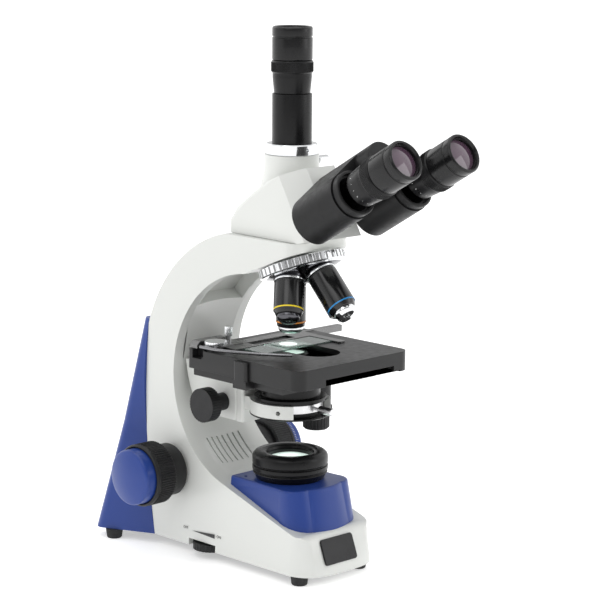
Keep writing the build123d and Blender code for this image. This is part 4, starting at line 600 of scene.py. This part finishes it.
r, inner, outer, skirt = FINE["radius"], FINE["inner"], FINE["outer"], FINE["skirt"]
skirt_low, skirt_high = outer - FINE["skirt_low"], outer - FINE["skirt_high"]
cap_side = eased([(0, inner), (r, inner), (r, outer - 2.2), (r - 0.7, outer - 0.7), (r - 2.4, outer)], 0.8)
cap_profile = cap_side + dome_points(r - 2.6, outer + 0.03, FINE["dome"])[1:]
skirt_profile = eased([(r - 0.5, skirt_low), (skirt - 0.3, skirt_low), (skirt, skirt_low + 0.5),
                       (skirt, skirt_high - 0.6), (skirt - 0.4, skirt_high), (r - 0.5, skirt_high)], 0.3)
lean = math.radians(SET_SCREW["lean"])
outward = Vector((0, -math.sin(lean), -math.cos(lean)))
for label, side in SIDES.items():
    parts = [turned(cap_profile)]
    if label == "right":
        parts.append(turned(skirt_profile))
    knob = joined("fine_cap_" + label, parts, focus_place[label], blue, "fine")
    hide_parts("fine_knob_" + label)
    hole = turned([(0, -SET_SCREW["sunk"]), (SET_SCREW["radius"], -SET_SCREW["sunk"]),
                   (SET_SCREW["radius"], SET_SCREW["proud"]), (0, SET_SCREW["proud"])], 20)
    along = Vector((side * (outer - SET_SCREW["from_rim"]) / 1000, 0, 0))
    seat = focus_middle + outward * r / 1000 + along
    hole_place = frame_along(seat, outward, (1, 0, 0))
    joined("fine_set_screw_" + label, [hole], hole_place, nylon, "fine")
low = outer - LINE_ENDS["low"]
short_line = bar(LINE, low, outer - LINE_ENDS["short"])
long_line = bar(LINE, low, outer - LINE_ENDS["long"])
lines = [copies_around(short_line, FINE["divisions"], skirt, white_print),
         copies_around(long_line, FINE["long_divisions"], skirt, white_print)]
joined("fine_divisions", lines, focus_place["right"], white_print, "fine")

# Brightness dial, tension collar, small knobs, lock screw and mains inlet: moulded in black
# plastic like the coarse knobs. The two shaft bushes are aluminium and get the same black face.
softened("brightness_dial", 0.3, nylon)
for name in ("tension_collar", "condenser_knob", "x_knob", "y_knob", "head_lock_screw"):
    softened(name, 0.25, nylon, segments=2)
paint_node("shaft_bushes", nylon)
paint_node("power_inlet", nylon)

# Print above the dial: a wedge that grows from dim to bright, and a word at each end of it,
# printed in dark grey on the left face of the base.
DIAL_PRINT = {"face": -43.0, "lift": 0.02, "thick": 0.05, "tip": (74.3, 21.3), "broad": (46.1, 20.0, 23.6),
              "level": 22.4, "letter": 3.4, "letter_thick": 0.03}
DIAL_WORDS = {"OFF": 82.3, "ON": 40.8}
grey_print = Finish("grey_print", (0.03, 0.03, 0.032), 0.5).mottle(0.1, 400).gloss(0.42, 0.58, 300)


def words(text):
    """Flat letters as a mesh in local XY, centred."""
    curve = bpy.data.curves.new(text, "FONT")
    curve.body = text
    curve.size = DIAL_PRINT["letter"] / 1000
    curve.align_x = "CENTER"
    curve.align_y = "CENTER"
    curve.extrude = DIAL_PRINT["letter_thick"] / 1000
    host = bpy.data.objects.new(text, curve)
    bpy.context.scene.collection.objects.link(host)
    bpy.context.view_layer.update()
    mesh = bpy.data.meshes.new_from_object(host.evaluated_get(bpy.context.evaluated_depsgraph_get()))
    bpy.data.objects.remove(host)
    return mesh


def on_left_side(y, z):
    """Matrix for print on the left face of the base, read from outside."""
    reading = Matrix((Vector((0, -1, 0)), Vector((0, 0, 1)), Vector((-1, 0, 0)))).transposed().to_4x4()
    return Matrix.Translation(at(DIAL_PRINT["face"] - DIAL_PRINT["lift"], y, z)) @ reading


tip_y, tip_z = DIAL_PRINT["tip"]
broad_y, broad_low, broad_high = DIAL_PRINT["broad"]
wedge_length = tip_y - broad_y
outline = ((0, 0), (wedge_length, broad_low - tip_z), (wedge_length, broad_high - tip_z))
wedge_shape = bmesh.new()
back_ring, face_ring = [[wedge_shape.verts.new((u / 1000, v / 1000, depth / 1000)) for u, v in outline]
                        for depth in (0, DIAL_PRINT["thick"])]
wedge_shape.faces.new(face_ring)
for i in range(len(outline)):
    after = (i + 1) % len(outline)
    wedge_shape.faces.new((back_ring[i], back_ring[after], face_ring[after], face_ring[i]))
wedge = bpy.data.meshes.new("wedge")
wedge_shape.to_mesh(wedge)
wedge_shape.free()
wedge.transform(on_left_side(tip_y, tip_z))
new_piece("dial_wedge", wedge, grey_print, "stand")
for text, y in DIAL_WORDS.items():
    letters = words(text)
    letters.transform(on_left_side(y, DIAL_PRINT["level"]))
    new_piece("dial_word_" + text.lower(), letters, grey_print, "stand")

# Shafts, gibs and slide: the hollow coarse shaft, the two gibs screwed to the arm and the shaft
# that the eyetubes swing on are ground steel. The focus slide and the iris ring are aluminium
# with a satin face.
ground_steel = Finish("ground_steel", (0.56, 0.56, 0.55), 0.28, 1.0).gloss(0.2, 0.36, 30, (1, 1, 14))
satin_aluminium = Finish("satin_aluminium", (0.72, 0.72, 0.73), 0.3, 1.0).gloss(0.24, 0.38, 60)
for name in ("coarse_shaft", "focus_guide", "pivot_shaft"):
    paint_node(name, ground_steel)
for name in ("focus_slide", "iris_ring"):
    paint_node(name, satin_aluminium)

# Stage block and condenser: the white enamelled block under the stage, and on its dovetail the
# carrier whose split ring holds the anodised condenser. The lens of the condenser passes the
# lamp's light, so it glows too.
softened("stage_carriage", 0.8, enamel)
softened("condenser_carrier", 0.7, enamel)
paint_node("condenser_body", black_anodised)
paint_node("condenser_lens", lit_lens("lit_condenser_lens", (0.8, 0.96, 0.88), 0.7))

# Stage: a fixed lower plate, an upper plate that moves across it, and the bearing block of the
# stage knobs, which hangs from the upper plate. All are metal with a fine matt black coat.
stage_coat = Finish("stage_coat", (0.012, 0.012, 0.0125), 0.34).mottle(0.15, 40).gloss(0.30, 0.38, 200)
stage_coat.grain(1600, 0.00002).set(Specular_IOR_Level=0.35)
softened("stage_top", 1.0, stage_coat)
softened("stage_base", 0.5, stage_coat)
softened("xy_bracket", 0.5, stage_coat)

# Specimen holder: a thin blackened steel plate with a fixed jaw, and a curved spring steel
# finger that presses the slide against it. A knurled chromed disc sits on the pivot of the
# finger, and a tall knurled pin clamps.
holder_steel = Finish("holder_steel", (0.20, 0.20, 0.20), 0.30, 1.0).gloss(0.22, 0.38, 30, (10, 1, 1))
chrome = Finish("chrome_plate", (0.80, 0.81, 0.82), 0.10, 1.0).gloss(0.06, 0.16, 50)
softened("holder_slider", 0.25, holder_steel)
paint_node("spring_finger", Finish("spring_steel", (0.25, 0.25, 0.26), 0.25, 1.0).gloss(0.2, 0.34, 120))
softened("holder_screws", 0.2, chrome)

# Specimen slide: a strip of greenish glass with a thin square cover glass over the specimen,
# and the round spot that the condenser lights in it.
COVER = {"middle": (-0.2, 2.7), "side": 22.0, "low": 187.02, "thick": 0.17, "edge": 0.05}
SPOT = {"radius": 7.5, "thick": 0.04, "lift": 0.01, "segments": 48}
slide_glass = Finish("slide_glass", (0.70, 0.93, 0.84), 0.03).set(Transmission_Weight=0.85, IOR=1.52)
cover_glass = Finish("cover_glass", (0.85, 0.97, 0.92), 0.04).gloss(0.02, 0.07, 200)
cover_glass.set(Transmission_Weight=0.8, IOR=1.5)
paint_node("specimen_slide", slide_glass)
cover_shape = bmesh.new()
bmesh.ops.create_cube(cover_shape, size=1.0)
cover_size = Vector((COVER["side"], COVER["side"], COVER["thick"])) / 1000
bmesh.ops.scale(cover_shape, vec=cover_size, verts=cover_shape.verts)
bmesh.ops.bevel(cover_shape, geom=cover_shape.edges[:], offset=COVER["edge"] / 1000, segments=1,
                affect="EDGES")
cover_mesh = bpy.data.meshes.new("cover")
cover_shape.to_mesh(cover_mesh)
cover_shape.free()
cover_mesh.transform(Matrix.Translation(at(*COVER["middle"], COVER["low"] + COVER["thick"] / 2)))
new_piece("cover_glass", cover_mesh, cover_glass, "holder")
spot_profile = [(0, 0), (SPOT["radius"], 0), (SPOT["radius"], SPOT["thick"]), (0, SPOT["thick"])]
spot = turned(eased(spot_profile, 0.01), SPOT["segments"])
spot.transform(Matrix.Translation(at(*COVER["middle"], COVER["low"] + COVER["thick"] + SPOT["lift"])))
new_piece("lit_spot", spot, lit_lens("lit_specimen", (0.90, 1.0, 0.95), 0.75), "holder")

# Nosepiece: an anodised seat with its stud under the arm, and the turned turret that revolves
# on it and takes the objectives. Its fluted ring is bright chrome and its sloping face darker.
RING_LOW = 38.9
dark_chrome = Finish("dark_chrome", (0.10, 0.10, 0.11), 0.16, 1.0).gloss(0.11, 0.22, 70)
apex = Vector(joints["nosepiece_turn"]["pos_m"])
turret_axis = Vector(joints["nosepiece_turn"]["axis"]).normalized()
paint_node("nosepiece_seat", black_anodised)
turret = softened("turret", 0.3, chrome)
turret.data.materials.append(dark_chrome.material)
for face in turret.data.polygons:
    if (face.center - apex).dot(turret_axis) * 1000 > RING_LOW:
        face.material_index = 1

# Objectives: turned aluminium barrels, anodised black, with a plated shoulder ring, a filled
# colour band for the magnification and a plated nose; each screws into the turret.
OBJECTIVE = {"tilt": 22.0, "seat": 48.3, "radius": 12.3, "bore": 5.3, "thread": 10.1, "nose_bore": 3.5,
             "cone": 9.3, "nose_up": 5.2, "groove": 0.65, "fill": 0.6}
OBJECTIVES = {"4x": {"turn": -90, "length": 41.0, "nose": 9.0, "band": 31.5, "colour": (0.80, 0.27, 0.015)},
              "10x": {"turn": 180, "length": 36.0, "nose": 7.8, "band": 26.3, "colour": (0.82, 0.62, 0.01)},
              "40x": {"turn": 90, "length": 44.0, "nose": 7.6, "band": 34.9, "colour": (0.02, 0.26, 0.62)},
              "100x": {"turn": 0, "length": 43.4, "nose": 6.0, "band": 34.0, "colour": (0.75, 0.76, 0.75)}}
objective_black = Finish("objective_black", (0.006, 0.006, 0.0065), 0.22).gloss(0.18, 0.27, 90)
objective_black.set(Coat_Weight=0.3, Coat_Roughness=0.1, Specular_IOR_Level=0.4)
clear_glass = Finish("lens_glass", (0.93, 0.97, 0.95), 0.02).set(Transmission_Weight=1.0, IOR=1.52)


def objective(power, size):
    """One objective from its thread to its nose, with ring, band and nose as pieces of their own."""
    name = "objective_" + power
    seat, bore, r, thread = OBJECTIVE["seat"], OBJECTIVE["bore"], OBJECTIVE["radius"], OBJECTIVE["thread"]
    end, band, nose = seat + size["length"], seat + size["band"], size["nose"]
    groove, fill, nose_low = OBJECTIVE["groove"], OBJECTIVE["fill"], end - OBJECTIVE["nose_up"]
    place = (frame_along(apex, turret_axis, (1, 0, 0)) @ Matrix.Rotation(math.radians(size["turn"]), 4, "Z")
             @ Matrix.Rotation(math.radians(OBJECTIVE["tilt"]), 4, "Y"))
    barrel_profile = eased([(bore, seat - 4.0), (thread - 0.1, seat - 4.0), (thread - 0.1, seat + 2.0),
                            (r - 0.4, seat + 2.3), (r - 0.4, seat + 3.1), (r, seat + 3.5),
                            (r, band - groove - 0.1), (r - 0.22, band - groove), (r - 0.22, band + groove),
                            (r, band + groove + 0.1), (r, end - OBJECTIVE["cone"]), (r - 0.6, end - 8.3),
                            (nose + 2.5, nose_low - 0.2), (nose + 1.0, nose_low), (bore, nose_low)], 0.35)
    shoulder = eased([(thread, seat + 0.05), (r + 0.3, seat + 0.05), (r + 0.3, seat + 2.1),
                      (thread, seat + 2.1)], 0.4)
    filled = [(r - 0.4, band - fill), (r + 0.02, band - fill), (r + 0.02, band + fill),
              (r - 0.4, band + fill)]
    nose_bore = OBJECTIVE["nose_bore"]
    plated = eased([(nose_bore, nose_low - 0.1), (nose + 1.5, nose_low - 0.1), (nose + 1.5, end - 2.8),
                    (nose + 0.6, end - 1.6), (nose - 0.9, end), (nose_bore, end)], 0.5)
    paint = Finish("band_" + power, size["colour"], 0.35).mottle(0.05, 300).gloss(0.3, 0.42, 200)
    plating = dark_chrome if power == "10x" else chrome
    barrel_piece = joined(name + "_barrel", [turned(barrel_profile)], place, objective_black, "nosepiece")
    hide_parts(name)
    joined(name + "_shoulder", [turned(shoulder)], place, chrome, "nosepiece")
    joined(name + "_band", [turned(filled)], place, paint, "nosepiece")
    joined(name + "_nose", [turned(plated)], place, plating, "nosepiece")


for power, size in OBJECTIVES.items():
    objective(power, size)
paint_node("objective_lenses", clear_glass)

# Head: a white enamelled housing that turns on the arm, where the lock screw holds it, with a
# glass beam splitter inside, a chromed ring round the photo port and a chromed pull rod. Two
# finely textured black eyetubes swing on its face.
powder_black = Finish("powder_black", (0.009, 0.009, 0.0095), 0.42).mottle(0.2, 60).gloss(0.36, 0.5, 200)
powder_black.grain(900, 0.00006).set(Specular_IOR_Level=0.28)
softened("head_housing", 2.2, enamel)
paint_node("prism_block", clear_glass)
paint_node("port_ring", chrome)
paint_node("light_rod", chrome)
softened("left_eyetube", 0.8, powder_black)
softened("right_eyetube", 0.8, powder_black)

# Diopter rings and eyepieces: the rings are turned aluminium, anodised black, with a finely
# ribbed grip and white scale lines on a tapered barrel. The eyepieces above them are black
# plastic, with a groove near the rim and a deep cup over the eye lens.
# Heights run along the axis of the eyepiece, from the level of the bend in the light path.
EYE = {"rim": 170.1, "joint": 120.0, "height": 27.0, "radius": 16.35, "cup": 12.9, "seat_bore": 10.0,
       "barrel": 26.8, "barrel_top": 26.75, "bore": 11.7, "low_radius": 14.6, "high_radius": 15.9,
       "ring": 17.0, "ribs": 120}
FINE_RIB = ((-0.3, -0.30), (0.0, -0.26), (0.22, 0.0), (0.0, 0.26), (-0.3, 0.30))
TICK = ((-0.3, -0.22), (0.10, -0.22), (0.10, 0.22), (-0.3, 0.22))
SHORT_TICKS = {"low": 5.2, "high": 7.2, "count": 18, "radius": 15.06}
LONG_TICKS = {"low": 4.8, "high": 7.6, "count": 6, "radius": 15.08}
eyepiece_black = Finish("eyepiece_black", (0.006, 0.006, 0.0065), 0.25).gloss(0.21, 0.31, 80)
eyepiece_black.set(Specular_IOR_Level=0.3, Coat_Weight=0.1, Coat_Roughness=0.05)
coated_glass = Finish("coated_glass", (0.085, 0.045, 0.075), 0.03).mottle(0.3, 60)
coated_glass.set(Coat_Weight=1.0, Coat_Roughness=0.02)


def barrel(low):
    """Tapered barrel with its ribbed ring."""
    ring, bore, wide, top = EYE["ring"], EYE["bore"], EYE["high_radius"], low + EYE["barrel_top"]
    shell = turned(eased([(bore, low), (EYE["low_radius"], low), (wide, low + 13.0), (wide, low + 16.6),
                          (ring - 0.15, low + 17.4), (ring - 0.15, low + 25.6), (ring - 0.9, top),
                          (bore, top)], 0.35))
    ribs = copies_around(bar(FINE_RIB, low + 17.9, low + 25.2), EYE["ribs"], ring - 0.1, black_anodised)
    return [shell, ribs]


def scale_lines(low):
    """White lines round the lower end of the barrel, every third one longer."""
    return [copies_around(bar(TICK, low + ticks["low"], low + ticks["high"]), ticks["count"], ticks["radius"],
                          white_print) for ticks in (SHORT_TICKS, LONG_TICKS)]


def eyepiece(low):
    """Eyepiece head with its groove and the deep cup over the eye lens."""
    r, top, cup, bore = EYE["radius"], low + EYE["height"], EYE["cup"], EYE["seat_bore"]
    return [turned(eased([(bore, low + 0.1), (r - 0.7, low + 0.1), (r, low + 0.8), (r, top - 9.1),
                          (r - 0.7, top - 8.8), (r - 0.7, top - 7.9), (r, top - 7.6), (r, top - 1.3),
                          (r - 1.1, top), (cup + 1.3, top), (cup + 0.2, top - 2.4), (cup + 0.2, top - 7.0),
                          (bore, top - 7.0)], 0.4))]


eye_low = EYE["rim"] - EYE["height"]
barrel_low = eye_low - EYE["barrel"]
for side in SIDES:
    joint = joints[side + "_diopter_turn"]
    axis = Vector(joint["axis"]).normalized()
    place = frame_along(Vector(joint["pos_m"]) - axis * EYE["joint"] / 1000, axis, (0, 0, 1))
    body = side + "_diopter"
    ring = joined(side + "_barrel", barrel(barrel_low), place, black_anodised, body)
    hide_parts(side + "_diopter_ring")
    joined(side + "_scale", scale_lines(barrel_low), place, white_print, body)
    ocular = joined(side + "_ocular", eyepiece(eye_low), place, eyepiece_black, body)
    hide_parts(side + "_eyepiece")
    paint_node(side + "_eye_lens", coated_glass)

# Photo tube: a plain anodised tube in the port with a barrel and an eyepiece like the other two,
# all upright on the optical axis.
PHOTO = {"bore": 13.6, "radius": 16.15, "low": 340.7, "barrel": 393.5}
photo_place = Matrix.Translation(at(0, 0, 0))
straight = turned(eased([(PHOTO["bore"], PHOTO["low"]), (PHOTO["radius"], PHOTO["low"]),
                         (PHOTO["radius"], PHOTO["barrel"]), (PHOTO["bore"], PHOTO["barrel"])], 0.3))
tube = joined("photo_barrel", [straight] + barrel(PHOTO["barrel"]), photo_place, black_anodised, "head")
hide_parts("photo_tube")
photo_eye_low = PHOTO["barrel"] + EYE["barrel"]
ocular = joined("photo_ocular", eyepiece(photo_eye_low), photo_place, eyepiece_black, "head")
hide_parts("photo_eyepiece")
paint_node("photo_eye_lens", coated_glass)
